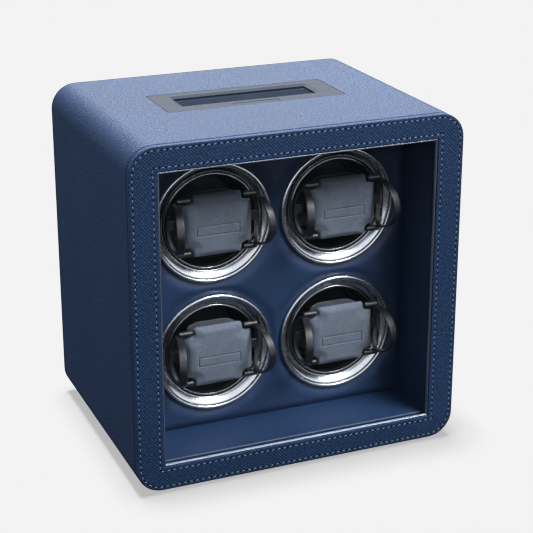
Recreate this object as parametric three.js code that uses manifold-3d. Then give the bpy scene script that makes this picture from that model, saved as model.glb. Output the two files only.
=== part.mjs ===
// A four-place watch winder box: a wrapped cabinet with a glazed door, and four turning cups
// that each hold a sprung watch cuff. Millimetres, +Z up, the door faces -Y, and the origin
// is on the floor under the middle of the box.
import * as THREE from 'three';
import { mergeVertices } from 'three/addons/utils/BufferGeometryUtils.js';
import Module from 'manifold-3d';

const wasm = await Module();
wasm.setup();

// ---- driving dimensions ----
const WIDTH = 280;
const DEPTH = 213;
const HEIGHT = 286;
const FOOT_HEIGHT = 3;
const PROFILE_RADIUS = 21;
const BORDER_SIDE = 22.5;
const BORDER_END = 20;
const DOOR_THICKNESS = 6;
const SHELL_WALL = 10;
const GAP = 0.3;
const SEAM = 0.4;
const PANEL_DEPTH = 55;
const PANEL_THICKNESS = 5;
const CUP_PITCH_X = 109.5;
const CUP_PITCH_Z = 112;
const RING_RADIUS = 50.5;
const RING_BORE = 41.2;
const BOWL_RADIUS = 40.2;
const CUFF_FRONT = 40;
const PAD_THICKNESS = 7;

// ---- places worked out from them ----
const FRONT = -DEPTH / 2;
const BACK = DEPTH / 2;
const SIDE = WIDTH / 2;
const BASE = FOOT_HEIGHT;
const DOOR_BACK = FRONT + DOOR_THICKNESS;
const SHELL_FRONT = DOOR_BACK + SEAM;
const WINDOW = { x: SIDE - BORDER_SIDE, z0: BASE + BORDER_END, z1: HEIGHT - BORDER_END };
const CAVITY = { x: SIDE - SHELL_WALL, z0: BASE + SHELL_WALL, z1: HEIGHT - SHELL_WALL };
const MIDDLE_Z = (BASE + HEIGHT) / 2;
const PANEL_FRONT = FRONT + PANEL_DEPTH;
const PANEL_BACK = PANEL_FRONT + PANEL_THICKNESS;
const PLATE_FRONT = FRONT + 99;
const PLATE_BACK = PLATE_FRONT + 4;
const HINGE = { x: SIDE - DOOR_THICKNESS / 2, y: FRONT + DOOR_THICKNESS / 2 };
const HINGE_HEIGHTS = { lower: MIDDLE_Z - 75, upper: MIDDLE_Z + 75 };
const FLANGE_RADIUS = PROFILE_RADIUS - SHELL_WALL - GAP;
const COVER = { y0: BACK - 5, y1: BACK - 2 };
const SCREW = { x: 120, z: CAVITY.z1 - 8, head: 3, shank: 1.5, hole: 1.8 };
const DISPLAY = { y: FRONT + 116, x: 78, depth: 28.5, top: HEIGHT, recess: 2.5 };
const BUTTON = { y: FRONT + 93, half: 18, radius: 2.4 };
const SOCKET = { x: 88, z: 46 };
const CATCH = { x: -SIDE + SHELL_WALL / 2, z: MIDDLE_Z, radius: 4 };

// ---- finishes ----
const finish = (color, roughness, metalness = 0, extra = {}) =>
  new THREE.MeshStandardMaterial({ color, roughness, metalness, ...extra });
const leather = finish('#21354f', 0.55);
const liningLeather = finish('#1c2f4b', 0.5);
const chrome = finish('#d5d9de', 0.08, 1);
const steel = finish('#9ea3a8', 0.35, 1);
const bowlBlack = finish('#0d0e11', 0.3);
const springBlack = finish('#15171b', 0.2);
const suede = finish('#68727f', 0.9);
const bezelGrey = finish('#969ea6', 0.45, 0.4);
const screenBlue = finish('#33475f', 0.1);
const clearGlass = finish('#e8f0f4', 0.03, 0, { transparent: true, opacity: 0.2 });
const boardGreen = finish('#1d5a3a', 0.6);
const plasticBlack = finish('#1a1b1d', 0.6);
const fibreboard = finish('#24211f', 0.85);
const rubber = finish('#131313', 0.9);

// ---- solids ----
function signedVolume(position, index) {
  const [a, b, c] = [new THREE.Vector3(), new THREE.Vector3(), new THREE.Vector3()];
  let six = 0;
  for (let i = 0; i < index.length; i += 3) {
    a.fromBufferAttribute(position, index[i]);
    b.fromBufferAttribute(position, index[i + 1]);
    c.fromBufferAttribute(position, index[i + 2]);
    six += a.dot(b.cross(c));
  }
  return six / 6;
}

// A closed manifold solid from a closed three.js geometry, with its faces pointing out.
function solid(geometry) {
  geometry.deleteAttribute('normal');
  geometry.deleteAttribute('uv');
  const merged = mergeVertices(geometry, 1e-4);
  const all = merged.index.array;
  const index = [];
  for (let i = 0; i < all.length; i += 3) {
    const [a, b, c] = [all[i], all[i + 1], all[i + 2]];
    if (a !== b && b !== c && c !== a) index.push(a, b, c);
  }
  if (signedVolume(merged.attributes.position, index) < 0) index.reverse();
  return new wasm.Manifold(new wasm.Mesh({
    numProp: 3,
    vertProperties: Float32Array.from(merged.attributes.position.array),
    triVerts: Uint32Array.from(index),
  }));
}

function geometryOf(body) {
  const { vertProperties, triVerts } = body.getMesh();
  const geometry = new THREE.BufferGeometry();
  geometry.setAttribute('position', new THREE.BufferAttribute(vertProperties, 3));
  geometry.setIndex(new THREE.BufferAttribute(triVerts, 1));
  geometry.computeVertexNormals();
  return geometry;
}

function box(x0, x1, y0, y1, z0, z1) {
  const geometry = new THREE.BoxGeometry(x1 - x0, y1 - y0, z1 - z0);
  geometry.translate((x0 + x1) / 2, (y0 + y1) / 2, (z0 + z1) / 2);
  return solid(geometry);
}

function cylinder(axis, radius, from, to, u, v, segments = 24) {
  const geometry = new THREE.CylinderGeometry(radius, radius, to - from, segments);
  const middle = (from + to) / 2;
  if (axis === 'x') geometry.rotateZ(Math.PI / 2).translate(middle, u, v);
  if (axis === 'y') geometry.translate(u, middle, v);
  if (axis === 'z') geometry.rotateX(Math.PI / 2).translate(u, v, middle);
  return solid(geometry);
}

function roundedOutline(x0, x1, z0, z1, radius) {
  const shape = new THREE.Shape();
  shape.moveTo(x0 + radius, z0);
  shape.lineTo(x1 - radius, z0).absarc(x1 - radius, z0 + radius, radius, -Math.PI / 2, 0);
  shape.lineTo(x1, z1 - radius).absarc(x1 - radius, z1 - radius, radius, 0, Math.PI / 2);
  shape.lineTo(x0 + radius, z1).absarc(x0 + radius, z1 - radius, radius, Math.PI / 2, Math.PI);
  shape.lineTo(x0, z0 + radius).absarc(x0 + radius, z0 + radius, radius, Math.PI, 1.5 * Math.PI);
  return shape;
}

// An outline drawn in X and Z, given thickness along Y from y0 to y1.
function plate(outline, y0, y1, options = {}) {
  const bevel = options.bevel ?? 0;
  const geometry = new THREE.ExtrudeGeometry(outline, {
    depth: y1 - y0 - 2 * bevel,
    steps: 1,
    curveSegments: options.segments ?? 6,
    bevelEnabled: bevel > 0,
    bevelThickness: bevel,
    bevelSize: bevel,
    bevelOffset: -bevel,
    bevelSegments: options.bevelSegments ?? 3,
  });
  geometry.rotateX(Math.PI / 2).translate(0, y1 - bevel, 0);
  return solid(geometry);
}

// A turned piece on the Y axis through (x, z): pairs of radius and distance in front of the panel.
function turned(profile, x, z, segments) {
  const points = profile.map(([radius, ahead]) => new THREE.Vector2(radius, PANEL_FRONT - ahead));
  return solid(new THREE.LatheGeometry(points, segments).translate(x, 0, z));
}

const joined = (...bodies) => bodies.reduce((whole, body) => whole.add(body));
const cut = (body, ...cutters) => cutters.reduce((rest, cutter) => rest.subtract(cutter), body);

const winder = new THREE.Group();
function place(name, body, material) {
  const mesh = new THREE.Mesh(geometryOf(body), material);
  mesh.name = name;
  winder.add(mesh);
}

const CUPS = [];
for (const [row, up] of [['upper', 1], ['lower', -1]]) {
  for (const [side, right] of [['left', -1], ['right', 1]]) {
    CUPS.push({
      name: `${row}_${side}`,
      x: right * CUP_PITCH_X / 2,
      z: MIDDLE_Z + 1.5 + up * CUP_PITCH_Z / 2,
    });
  }
}

// ---- cabinet ----
const BOSS = { width: 17, length: 14, height: 16, bore: 13 };
const COVER_LIP = { half: 60, height: 4 };
const LEAF_POCKET = { inside: 1.5, outside: 1, depth: 2, half: 12 };
function outerShell() {
  const outer = CAVITY.x;
  const inner = CAVITY.x - BOSS.width;
  const boss = side => box(
    Math.min(side * outer, side * inner), Math.max(side * outer, side * inner),
    COVER.y0 - BOSS.length, COVER.y0 - GAP, CAVITY.z1 - BOSS.height, CAVITY.z1);
  const lip = box(
    -COVER_LIP.half, COVER_LIP.half, COVER.y1 + GAP, BACK, CAVITY.z0 - 1,
    CAVITY.z0 + COVER_LIP.height);
  const tube = plate(roundedOutline(-SIDE, SIDE, BASE, HEIGHT, PROFILE_RADIUS), SHELL_FRONT, BACK);
  const hollow = plate(
    roundedOutline(-CAVITY.x, CAVITY.x, CAVITY.z0, CAVITY.z1, PROFILE_RADIUS - SHELL_WALL),
    SHELL_FRONT - 1, BACK + 1);
  const shell = joined(cut(tube, hollow), boss(-1), boss(1), lip);
  const { x, y, depth, top, recess } = DISPLAY;
  const cutters = [
    box(-x, x, y - depth, y + depth, top - recess, top + 1),
    box(-x + 6, x - 6, y - depth + 2, y + depth - 4, CAVITY.z1 - 1, top),
    cylinder('y', CATCH.radius + GAP, SHELL_FRONT - 1, SHELL_FRONT + 3.2, CATCH.x, CATCH.z),
  ];
  for (const side of [-1, 1]) {
    cutters.push(
      cylinder('y', SCREW.hole, COVER.y0 - BOSS.bore, COVER.y1, side * SCREW.x, SCREW.z, 16));
  }
  for (const z of Object.values(HINGE_HEIGHTS)) {
    cutters.push(box(
      CAVITY.x + LEAF_POCKET.inside, SIDE - LEAF_POCKET.outside, SHELL_FRONT - 1,
      SHELL_FRONT + LEAF_POCKET.depth, z - LEAF_POCKET.half, z + LEAF_POCKET.half));
  }
  return cut(shell, ...cutters);
}

const SOCKET_HOLE = 6;
const VENT = { half: 30, above: 20, pitch: 7, height: 2.6, count: 7 };
function rearCover() {
  const outline = roundedOutline(
    -CAVITY.x + GAP, CAVITY.x - GAP, CAVITY.z0 + GAP, CAVITY.z1 - GAP, PROFILE_RADIUS - SHELL_WALL);
  const cutters = [cylinder('y', SOCKET_HOLE, COVER.y0 - 1, COVER.y1 + 1, SOCKET.x, SOCKET.z)];
  for (const side of [-1, 1]) {
    cutters.push(cylinder('y', SCREW.hole, COVER.y0 - 1, COVER.y1 + 1, side * SCREW.x, SCREW.z, 16));
  }
  for (let slot = 0; slot < VENT.count; slot += 1) {
    const z = MIDDLE_Z + VENT.above + slot * VENT.pitch;
    cutters.push(box(-VENT.half, VENT.half, COVER.y0 - 1, COVER.y1 + 1, z, z + VENT.height));
  }
  return cut(plate(outline, COVER.y0, COVER.y1), ...cutters);
}

function coverScrew(side) {
  const x = side * SCREW.x;
  const head = cylinder('y', SCREW.head, COVER.y1 + GAP, BACK - 0.2, x, SCREW.z, 16);
  const shank = cylinder('y', SCREW.shank, COVER.y0 - 11, COVER.y1 + 1, x, SCREW.z, 16);
  const slot = box(x - 2.4, x + 2.4, BACK - 0.9, BACK, SCREW.z - 0.4, SCREW.z + 0.4);
  return cut(joined(head, shank), slot);
}

// The lined tube behind the door, with a front flange that fills the shell's mouth.
const LINER = { x: WINDOW.x, z0: WINDOW.z0 + 2, z1: WINDOW.z1, wall: 2.5, y0: SHELL_FRONT + GAP };
const insideShell = () => roundedOutline(
  -CAVITY.x + GAP, CAVITY.x - GAP, CAVITY.z0 + GAP, CAVITY.z1 - GAP, FLANGE_RADIUS);
function compartmentLiner() {
  const { x, z0, z1, wall, y0 } = LINER;
  const flange = plate(insideShell(), y0, y0 + 2);
  const tube = box(-x - wall, x + wall, y0, PANEL_BACK + 2, z0 - wall, z1 + wall);
  return cut(joined(flange, tube), box(-x, x, y0 - 1, PANEL_BACK + 3, z0, z1));
}

const PANEL_HOLE = 46.4;
function cupPanel() {
  const body = box(
    -LINER.x + GAP, LINER.x - GAP, PANEL_FRONT, PANEL_BACK, LINER.z0 + GAP, LINER.z1 - GAP);
  return cut(body, ...CUPS.map(({ x, z }) =>
    cylinder('y', PANEL_HOLE, PANEL_FRONT - 1, PANEL_BACK + 1, x, z, 32)));
}

const SPINDLE_HOLE = 6;
function motorPlate() {
  const body = plate(insideShell(), PLATE_FRONT, PLATE_BACK);
  return cut(body, ...CUPS.map(({ x, z }) =>
    cylinder('y', SPINDLE_HOLE, PLATE_FRONT - 1, PLATE_BACK + 1, x, z, 16)));
}

const FOOT = { radius: 9, ease: 1.3, fromSide: 34, fromFront: 30, fromBack: 24 };
function foot(x, y) {
  const { radius, ease } = FOOT;
  const top = FOOT_HEIGHT - GAP;
  const rounded = [[0, 0], [radius - ease, 0], [radius, ease], [radius, top], [0, top]];
  const points = rounded.map(([radius, z]) => new THREE.Vector2(radius, z));
  return solid(new THREE.LatheGeometry(points, 24).rotateX(Math.PI / 2).translate(x, y, 0));
}

place('outer_shell', outerShell(), leather);
place('rear_cover', rearCover(), fibreboard);
place('cover_screw_left', coverScrew(-1), steel);
place('cover_screw_right', coverScrew(1), steel);
place('compartment_liner', compartmentLiner(), liningLeather);
place('cup_panel', cupPanel(), liningLeather);
place('motor_plate', motorPlate(), fibreboard);
for (const [end, y] of [['front', FRONT + FOOT.fromFront], ['rear', BACK - FOOT.fromBack]]) {
  for (const [side, x] of [['left', -SIDE + FOOT.fromSide], ['right', SIDE - FOOT.fromSide]]) {
    place(`foot_${end}_${side}`, foot(x, y), rubber);
  }
}

// ---- display on the top ----
// Each gives half a width, the distances before and behind the display's middle, and the depths
// below the top that it lies between.
const FACE_OPENING = { x: 59, front: 14, rear: 16 };
const PANE = { x: 62, front: 16.5, rear: 19, low: 4.4, high: 2.5 };
const MODULE = { x: 66, front: 17.5, rear: 21, low: 9.6, high: 4.7 };
const BEZEL_THICKNESS = 2.2;
function displayBezel() {
  const { x, y, depth, top } = DISPLAY;
  const body = box(-x + SEAM, x - SEAM, y - depth + SEAM, y + depth - SEAM,
    top - BEZEL_THICKNESS, top);
  const slot = joined(
    box(-BUTTON.half, BUTTON.half, BUTTON.y - BUTTON.radius - GAP,
      BUTTON.y + BUTTON.radius + GAP, top - 3, top + 1),
    cylinder('z', BUTTON.radius + GAP, top - 3, top + 1, -BUTTON.half, BUTTON.y),
    cylinder('z', BUTTON.radius + GAP, top - 3, top + 1, BUTTON.half, BUTTON.y));
  const opening = box(
    -FACE_OPENING.x, FACE_OPENING.x, y - FACE_OPENING.front, y + FACE_OPENING.rear, top - 3, top + 1);
  return cut(body, opening, slot);
}

function modeButton() {
  const { y, half, radius } = BUTTON;
  const low = DISPLAY.top - 3.2;
  const high = DISPLAY.top - 0.2;
  return joined(
    box(-half, half, y - radius, y + radius, low, high),
    cylinder('z', radius, low, high, -half, y),
    cylinder('z', radius, low, high, half, y));
}

function underTop({ x, front, rear, low, high }) {
  const { y, top } = DISPLAY;
  return box(-x, x, y - front, y + rear, top - low, top - high);
}

const BOARD = { x: 50, y0: 30, y1: 90, low: 6, high: 7.6, post: 2.5, corner: 5 };
function controlBoard() {
  const z = CAVITY.z0;
  const { x: half, y0, y1, low, high, post, corner } = BOARD;
  const board = box(-half, half, y0, y1, z + low, z + high);
  const posts = [];
  for (const x of [-half + corner, half - corner]) {
    for (const y of [y0 + corner, y1 - corner]) {
      posts.push(cylinder('z', post, z + GAP, z + low + 0.5, x, y, 12));
    }
  }
  const relay = box(-20, 5, 45, 65, z + high - 0.6, z + 17);
  const terminal = box(18, 44, 70, 84, z + high - 0.6, z + 15);
  return joined(board, relay, terminal, ...posts);
}

const JACK = { barrel: 5.6, length: 14, collar: 8, mouth: 3.2, depth: 8, pin: 1 };
function powerSocket() {
  const { x, z } = SOCKET;
  const barrel = cylinder('y', JACK.barrel, COVER.y0 - JACK.length, COVER.y1 + 1, x, z);
  const collar = cylinder('y', JACK.collar, COVER.y1 + GAP, BACK - 0.2, x, z);
  const mouth = cylinder('y', JACK.mouth, COVER.y0 - JACK.depth, BACK + 1, x, z);
  const pin = cylinder('y', JACK.pin, COVER.y0 - JACK.depth - 1, BACK - 2, x, z, 12);
  return joined(cut(joined(barrel, collar), mouth), pin);
}

place('display_bezel', displayBezel(), bezelGrey);
place('display_pane', underTop(PANE), screenBlue);
place('display_module', underTop(MODULE), plasticBlack);
place('mode_button', modeButton(), bezelGrey);
place('control_board', controlBoard(), boardGreen);
place('power_socket', powerSocket(), plasticBlack);

// ---- door ----
const REBATE = 4;
const HINGE_POCKET = { inside: 3.35, half: 12.6 };
const GLASS = { y0: FRONT + 3.2, y1: FRONT + 5.7 };
function doorFrame() {
  const slab = plate(
    roundedOutline(-SIDE, SIDE, BASE, HEIGHT, PROFILE_RADIUS),
    FRONT, DOOR_BACK, { bevel: DOOR_THICKNESS / 2 - 0.01, bevelSegments: 2, segments: 6 });
  const { x, z0, z1 } = WINDOW;
  const cutters = [
    box(-x, x, FRONT - 1, DOOR_BACK + 1, z0, z1),
    box(-x - REBATE, x + REBATE, FRONT + 2.9, DOOR_BACK + 1, z0 - REBATE, z1 + REBATE),
    cylinder('y', CATCH.radius + GAP, FRONT + 4.2, DOOR_BACK + 1, CATCH.x, CATCH.z),
  ];
  for (const z of Object.values(HINGE_HEIGHTS)) {
    cutters.push(box(
      HINGE.x - HINGE_POCKET.inside, SIDE + 1, FRONT + 0.8, DOOR_BACK + 1,
      z - HINGE_POCKET.half, z + HINGE_POCKET.half));
  }
  return cut(slab, ...cutters);
}

function doorGlass() {
  const { x, z0, z1 } = WINDOW;
  const edge = REBATE - GAP;
  return box(-x - edge, x + edge, GLASS.y0, GLASS.y1, z0 - edge, z1 + edge);
}

function glassBead() {
  const { x, z0, z1 } = WINDOW;
  const inner = 1.6;
  const ring = box(-x + GAP, x - GAP, FRONT + 0.8, GLASS.y0 - GAP, z0 + GAP, z1 - GAP);
  const hole = box(-x + inner, x - inner, FRONT, DOOR_BACK, z0 + inner, z1 - inner);
  return cut(ring, hole);
}

const KNUCKLE = { radius: 2, bore: 1.15, pin: 0.85, half: 5, end: 11.7 };
const LEAF = { inside: 1.8, outside: 1.3, thickness: 1.4 };
function caseLeaf(z) {
  const { x, y } = HINGE;
  const knuckle = cylinder('z', KNUCKLE.radius, z - KNUCKLE.half, z + KNUCKLE.half, x, y, 20);
  const neck = box(x - 1.4, x + 1.4, y + 0.5, SHELL_FRONT + 1, z - KNUCKLE.half, z + KNUCKLE.half);
  const leaf = box(
    CAVITY.x + LEAF.inside, SIDE - LEAF.outside, SHELL_FRONT + GAP,
    SHELL_FRONT + GAP + LEAF.thickness, z - KNUCKLE.end, z + KNUCKLE.end);
  const bore = cylinder('z', KNUCKLE.bore, z - 6, z + 6, x, y, 16);
  return cut(joined(knuckle, neck, leaf), bore);
}

function doorLeaf(z) {
  const { x, y } = HINGE;
  const from = KNUCKLE.half + GAP;
  const leaf = box(x - 3.05, x - 2.15, y - 1.8, y + 2.2, z - KNUCKLE.end, z + KNUCKLE.end);
  const parts = [leaf];
  for (const [low, high] of [[-KNUCKLE.end, -from], [from, KNUCKLE.end]]) {
    parts.push(cylinder('z', KNUCKLE.radius, z + low, z + high, x, y, 20));
    parts.push(box(x - 2.5, x - 1, y - 1.4, y + 1.4, z + low, z + high));
  }
  return cut(joined(...parts), cylinder('z', KNUCKLE.bore, z - 13, z + 13, x, y, 16));
}

place('door_frame', doorFrame(), leather);
place('door_glass', doorGlass(), clearGlass);
place('glass_bead', glassBead(), bezelGrey);
place('door_strike',
  cylinder('y', CATCH.radius, FRONT + 4.5, DOOR_BACK - GAP, CATCH.x, CATCH.z), steel);
place('catch_magnet',
  cylinder('y', CATCH.radius, SHELL_FRONT + GAP, SHELL_FRONT + 2.9, CATCH.x, CATCH.z), steel);
for (const [end, z] of Object.entries(HINGE_HEIGHTS)) {
  place(`hinge_case_leaf_${end}`, caseLeaf(z), steel);
  place(`hinge_door_leaf_${end}`, doorLeaf(z), steel);
  place(`hinge_pin_${end}`,
    cylinder('z', KNUCKLE.pin, z - 12.2, z + 12.2, HINGE.x, HINGE.y, 16), steel);
}

// ---- one winder place: fixed ring and motor, turning cup, and its cuff ----
const RING_PROFILE = [
  [RING_RADIUS, GAP], [RING_RADIUS, 2], [48.4, 4.2], [46.3, 2.2], [42.2, -0.6],
  [RING_BORE, -2.4], [RING_BORE, -4.6], [43.6, -4.6], [45.9, GAP], [RING_RADIUS, GAP],
];
const BOWL_RIM = -5;
const BOWL_FLOOR = -34;
const LIP_PROFILE = [
  [38.3, BOWL_RIM + GAP], [38.3, -2.2], [39.4, -1.4], [40.6, -2.2], [40.6, BOWL_RIM + GAP],
  [38.3, BOWL_RIM + GAP],
];
const SPINDLE = { radius: 3, end: -56 };
const BOWL_PROFILE = [
  [0, BOWL_FLOOR], [30.5, BOWL_FLOOR], [35.4, -24], [37.8, BOWL_RIM], [BOWL_RADIUS, BOWL_RIM],
  [37.8, -25.5], [32, -37], [8, -37], [8, -42], [SPINDLE.radius, -42],
  [SPINDLE.radius, SPINDLE.end], [0, SPINDLE.end],
];
const PEG = { half: 8, play: 0.5, wall: 2.6 };
const SOCKET_MOUTH = -19;

function bowl({ x, z }) {
  const cup = turned(BOWL_PROFILE, x, z, 24);
  const half = PEG.half + PEG.play;
  const outer = half + PEG.wall;
  const near = PANEL_FRONT - SOCKET_MOUTH;
  const far = PANEL_FRONT - BOWL_FLOOR;
  const socket = box(x - outer, x + outer, near, far + 1, z - outer, z + outer);
  const bore = box(x - half, x + half, near - 1, far - 0.5, z - half, z + half);
  return joined(cup, cut(socket, bore));
}

const MOTOR = { gearbox: 18.5, can: 12, offset: 4, gearboxEnd: 12, canEnd: 34 };
function motor({ x, z }) {
  const gearboxEnd = PLATE_BACK + MOTOR.gearboxEnd;
  const gearbox = cylinder('y', MOTOR.gearbox, PLATE_BACK + GAP, gearboxEnd, x, z, 20);
  const can = cylinder(
    'y', MOTOR.can, gearboxEnd - 1, PLATE_BACK + MOTOR.canEnd, x, z + MOTOR.offset, 16);
  const ears = box(x - 25, x + 25, PLATE_BACK + GAP, PLATE_BACK + 2.5, z - 4.5, z + 4.5);
  const bore = cylinder('y', SPINDLE.radius + 0.35, PLATE_FRONT, PLATE_BACK + 9.5, x, z, 12);
  return cut(joined(gearbox, can, ears), bore);
}

// The pads' outline: a rectangle with a rounded step taken out of each corner.
const PAD = { x: 31, z: 27, stepX: 20.5, stepZ: 18, round: 2.5 };
function paddedOutline(cx, cz) {
  const { x, z, stepX, stepZ, round } = PAD;
  const shape = new THREE.Shape();
  const corners = [[1, -1], [1, 1], [-1, 1], [-1, -1]];
  corners.forEach(([sx, sz], i) => {
    const outer = [cx + sx * x, cz + sz * stepZ];
    const upper = [cx + sx * stepX, cz + sz * z];
    const inner = [cx + sx * stepX, cz + sz * stepZ];
    const [first, last] = sx === sz ? [outer, upper] : [upper, outer];
    const inward = (point, by) => [
      inner[0] + (point[0] - inner[0]) * by, inner[1] + (point[1] - inner[1]) * by,
    ];
    const ease = point => round / Math.hypot(point[0] - inner[0], point[1] - inner[1]);
    if (i === 0) shape.moveTo(...first);
    else shape.lineTo(...first);
    shape.lineTo(...inward(first, ease(first)));
    shape.quadraticCurveTo(...inner, ...inward(last, ease(last)));
    shape.lineTo(...last);
  });
  return shape;
}

const CUFF_BACK = CUFF_FRONT + PAD_THICKNESS;
function frontPad({ x, z }) {
  return plate(paddedOutline(x, z + 2), FRONT + CUFF_FRONT, FRONT + CUFF_BACK, { segments: 3 });
}

const REAR = { x: 26, below: 21, above: 28, radius: 15, gap: 4, thickness: 12 };
function rearPad({ x, z }) {
  const from = FRONT + CUFF_BACK + REAR.gap;
  const to = from + REAR.thickness;
  const outline = roundedOutline(x - REAR.x, x + REAR.x, z - REAR.below, z + REAR.above, REAR.radius);
  const body = plate(outline, from, to, { segments: 4 });
  const pegEnd = PANEL_FRONT - BOWL_FLOOR - 3;
  const { half } = PEG;
  return joined(body, box(x - half, x + half, to - 1, pegEnd, z - half, z + half));
}

// One side spring: two bowed strips between an upper and a lower barrel, and a tab to the rear pad.
const SPRING = { x: 33, z: 20, y: CUFF_FRONT + PAD_THICKNESS / 2, barrel: 2.3, thickness: 1.6 };
const FRONT_STRIP = { reach: 24, width: 6.5, outward: 5.3, back: -23.4 };
const REAR_STRIP = { reach: 10.4, width: 4, outward: 5, back: 10.9 };
const TAB = { from: 26.3, to: 38, y0: 8.4, y1: 10.6, half: 4 };
function bowedStrip(reach, width) {
  const { z, thickness } = SPRING;
  const shape = new THREE.Shape();
  const half = Math.PI / 2;
  shape.moveTo(-0.5, -z - thickness / 2);
  shape.absellipse(0, 0, reach + thickness / 2, z + thickness / 2, -half, half);
  shape.lineTo(-0.5, z + thickness / 2).lineTo(-0.5, z - thickness / 2);
  shape.absellipse(0, 0, reach - thickness / 2, z - thickness / 2, half, -half, true);
  shape.lineTo(-0.5, -z + thickness / 2);
  return new THREE.ExtrudeGeometry(shape, { depth: width, bevelEnabled: false, curveSegments: 8 })
    .translate(0, 0, -width / 2)
    .rotateX(Math.PI / 2);
}

function sideSpring({ x, z }, side) {
  const middle = z + 2;
  const anchorX = x + side * SPRING.x;
  const anchorY = FRONT + SPRING.y;
  const strip = ({ reach, width, outward, back }) => {
    const geometry = bowedStrip(reach, width);
    geometry.rotateZ(Math.atan2(back, side * outward));
    return solid(geometry.translate(anchorX, anchorY, middle));
  };
  const front = strip(FRONT_STRIP);
  const rear = strip(REAR_STRIP);
  const inner = x + side * 22;
  const barrels = [-SPRING.z, SPRING.z].map(offset => cylinder(
    'x', SPRING.barrel, Math.min(inner, anchorX + side), Math.max(inner, anchorX + side),
    anchorY, middle + offset + Math.sign(offset) * 2, 12));
  const tabFrom = x + side * TAB.from;
  const tabTo = x + side * TAB.to;
  const tab = box(Math.min(tabFrom, tabTo), Math.max(tabFrom, tabTo),
    anchorY + TAB.y0, anchorY + TAB.y1, middle - TAB.half, middle + TAB.half);
  return joined(front, rear, ...barrels, tab);
}

for (const cup of CUPS) {
  const { name, x, z } = cup;
  place(`bezel_ring_${name}`, turned(RING_PROFILE, x, z, 36), chrome);
  place(`motor_${name}`, motor(cup), steel);
  place(`cup_bowl_${name}`, bowl(cup), bowlBlack);
  place(`cup_lip_${name}`, turned(LIP_PROFILE, x, z, 28), chrome);
  place(`cuff_front_pad_${name}`, frontPad(cup), suede);
  place(`cuff_rear_pad_${name}`, rearPad(cup), suede);
  place(`cuff_spring_left_${name}`, sideSpring(cup, -1), springBlack);
  place(`cuff_spring_right_${name}`, sideSpring(cup, 1), springBlack);
}

export default winder;
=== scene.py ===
"""A four-place watch winder box, laid out as an add-on: one operator for each group of pieces."""

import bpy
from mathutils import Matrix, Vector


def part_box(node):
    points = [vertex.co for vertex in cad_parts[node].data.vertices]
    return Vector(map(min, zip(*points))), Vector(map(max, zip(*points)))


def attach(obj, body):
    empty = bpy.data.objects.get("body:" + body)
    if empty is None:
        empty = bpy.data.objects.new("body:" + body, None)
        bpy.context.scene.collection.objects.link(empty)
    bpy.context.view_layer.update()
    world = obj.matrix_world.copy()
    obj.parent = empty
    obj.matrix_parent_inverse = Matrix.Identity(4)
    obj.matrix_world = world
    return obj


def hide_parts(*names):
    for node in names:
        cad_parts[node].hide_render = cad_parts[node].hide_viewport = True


bl_info = {
    "name": "Watch Winder Box",
    "version": (1, 0, 0),
    "blender": (4, 5, 0),
    "location": "View3D > Sidebar > Winder",
    "description": "Builds the cabinet, glazed door, turning cups and cuffs of a watch winder",
    "category": "Add Mesh",
}

import math

import bmesh
import bpy
from bpy.props import FloatProperty, FloatVectorProperty, PointerProperty
from mathutils import Euler, Matrix, Vector

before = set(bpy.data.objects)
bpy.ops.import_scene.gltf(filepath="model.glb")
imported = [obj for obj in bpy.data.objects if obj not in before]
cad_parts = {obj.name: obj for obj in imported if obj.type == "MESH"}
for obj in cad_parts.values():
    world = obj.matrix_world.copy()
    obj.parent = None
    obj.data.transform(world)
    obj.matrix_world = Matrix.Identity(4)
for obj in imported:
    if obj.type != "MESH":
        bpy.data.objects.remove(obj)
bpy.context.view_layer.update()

MM = 0.001
TAU = 2 * math.pi
FIT = 0.3 * MM  # the clearance that neighbouring pieces keep

# ---- places, from the frame ----
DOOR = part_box("door_frame")
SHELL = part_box("outer_shell")
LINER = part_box("compartment_liner")
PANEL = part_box("cup_panel")
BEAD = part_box("glass_bead")
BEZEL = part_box("display_bezel")
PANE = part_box("display_pane")
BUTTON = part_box("mode_button")
PLACES = ("upper_left", "upper_right", "lower_left", "lower_right")
FRONT = DOOR[0].y
DOOR_BACK = DOOR[1].y
BACK = SHELL[1].y
SIDE = DOOR[1].x
BASE = DOOR[0].z
TOP = DOOR[1].z
WINDOW_X = BEAD[1].x + FIT
WINDOW_Z0 = BEAD[0].z - FIT
WINDOW_Z1 = BEAD[1].z + FIT
PANEL_FRONT = PANEL[0].y
HINGES = [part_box(f"hinge_pin_{end}") for end in ("lower", "upper")]
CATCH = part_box("door_strike")

# ---- sizes that the frame doesn't hold ----
CORNER_RADIUS = 21 * MM
WALL = 10 * MM
REBATE = 4 * MM
STRIKE_SEAT = 4.3 * MM  # radius of the seats for the strike plate and for its magnet
RING_RADIUS = 50.5 * MM
PANEL_HOLE = 46.4 * MM
PAD_EASE = 0.8 * MM  # what a pad keeps inside its place before it is filled
FIRST = PLACES[0]  # a piece that every cup has is made here, then copied

QUARTER = range(0, 91, 15)
EASE_STEPS = (22, 45, 67, 90)


def middle(box):
    return (box[0] + box[1]) / 2


def cup_axis(place):
    return middle(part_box(f"bezel_ring_{place}"))


def linear(red, green, blue):
    """A colour from 0 to 255 steps, as Blender's scene-linear numbers."""
    def one(step):
        share = step / 255
        return share / 12.92 if share <= 0.04045 else ((share + 0.055) / 1.055) ** 2.4
    return (one(red), one(green), one(blue))


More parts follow.
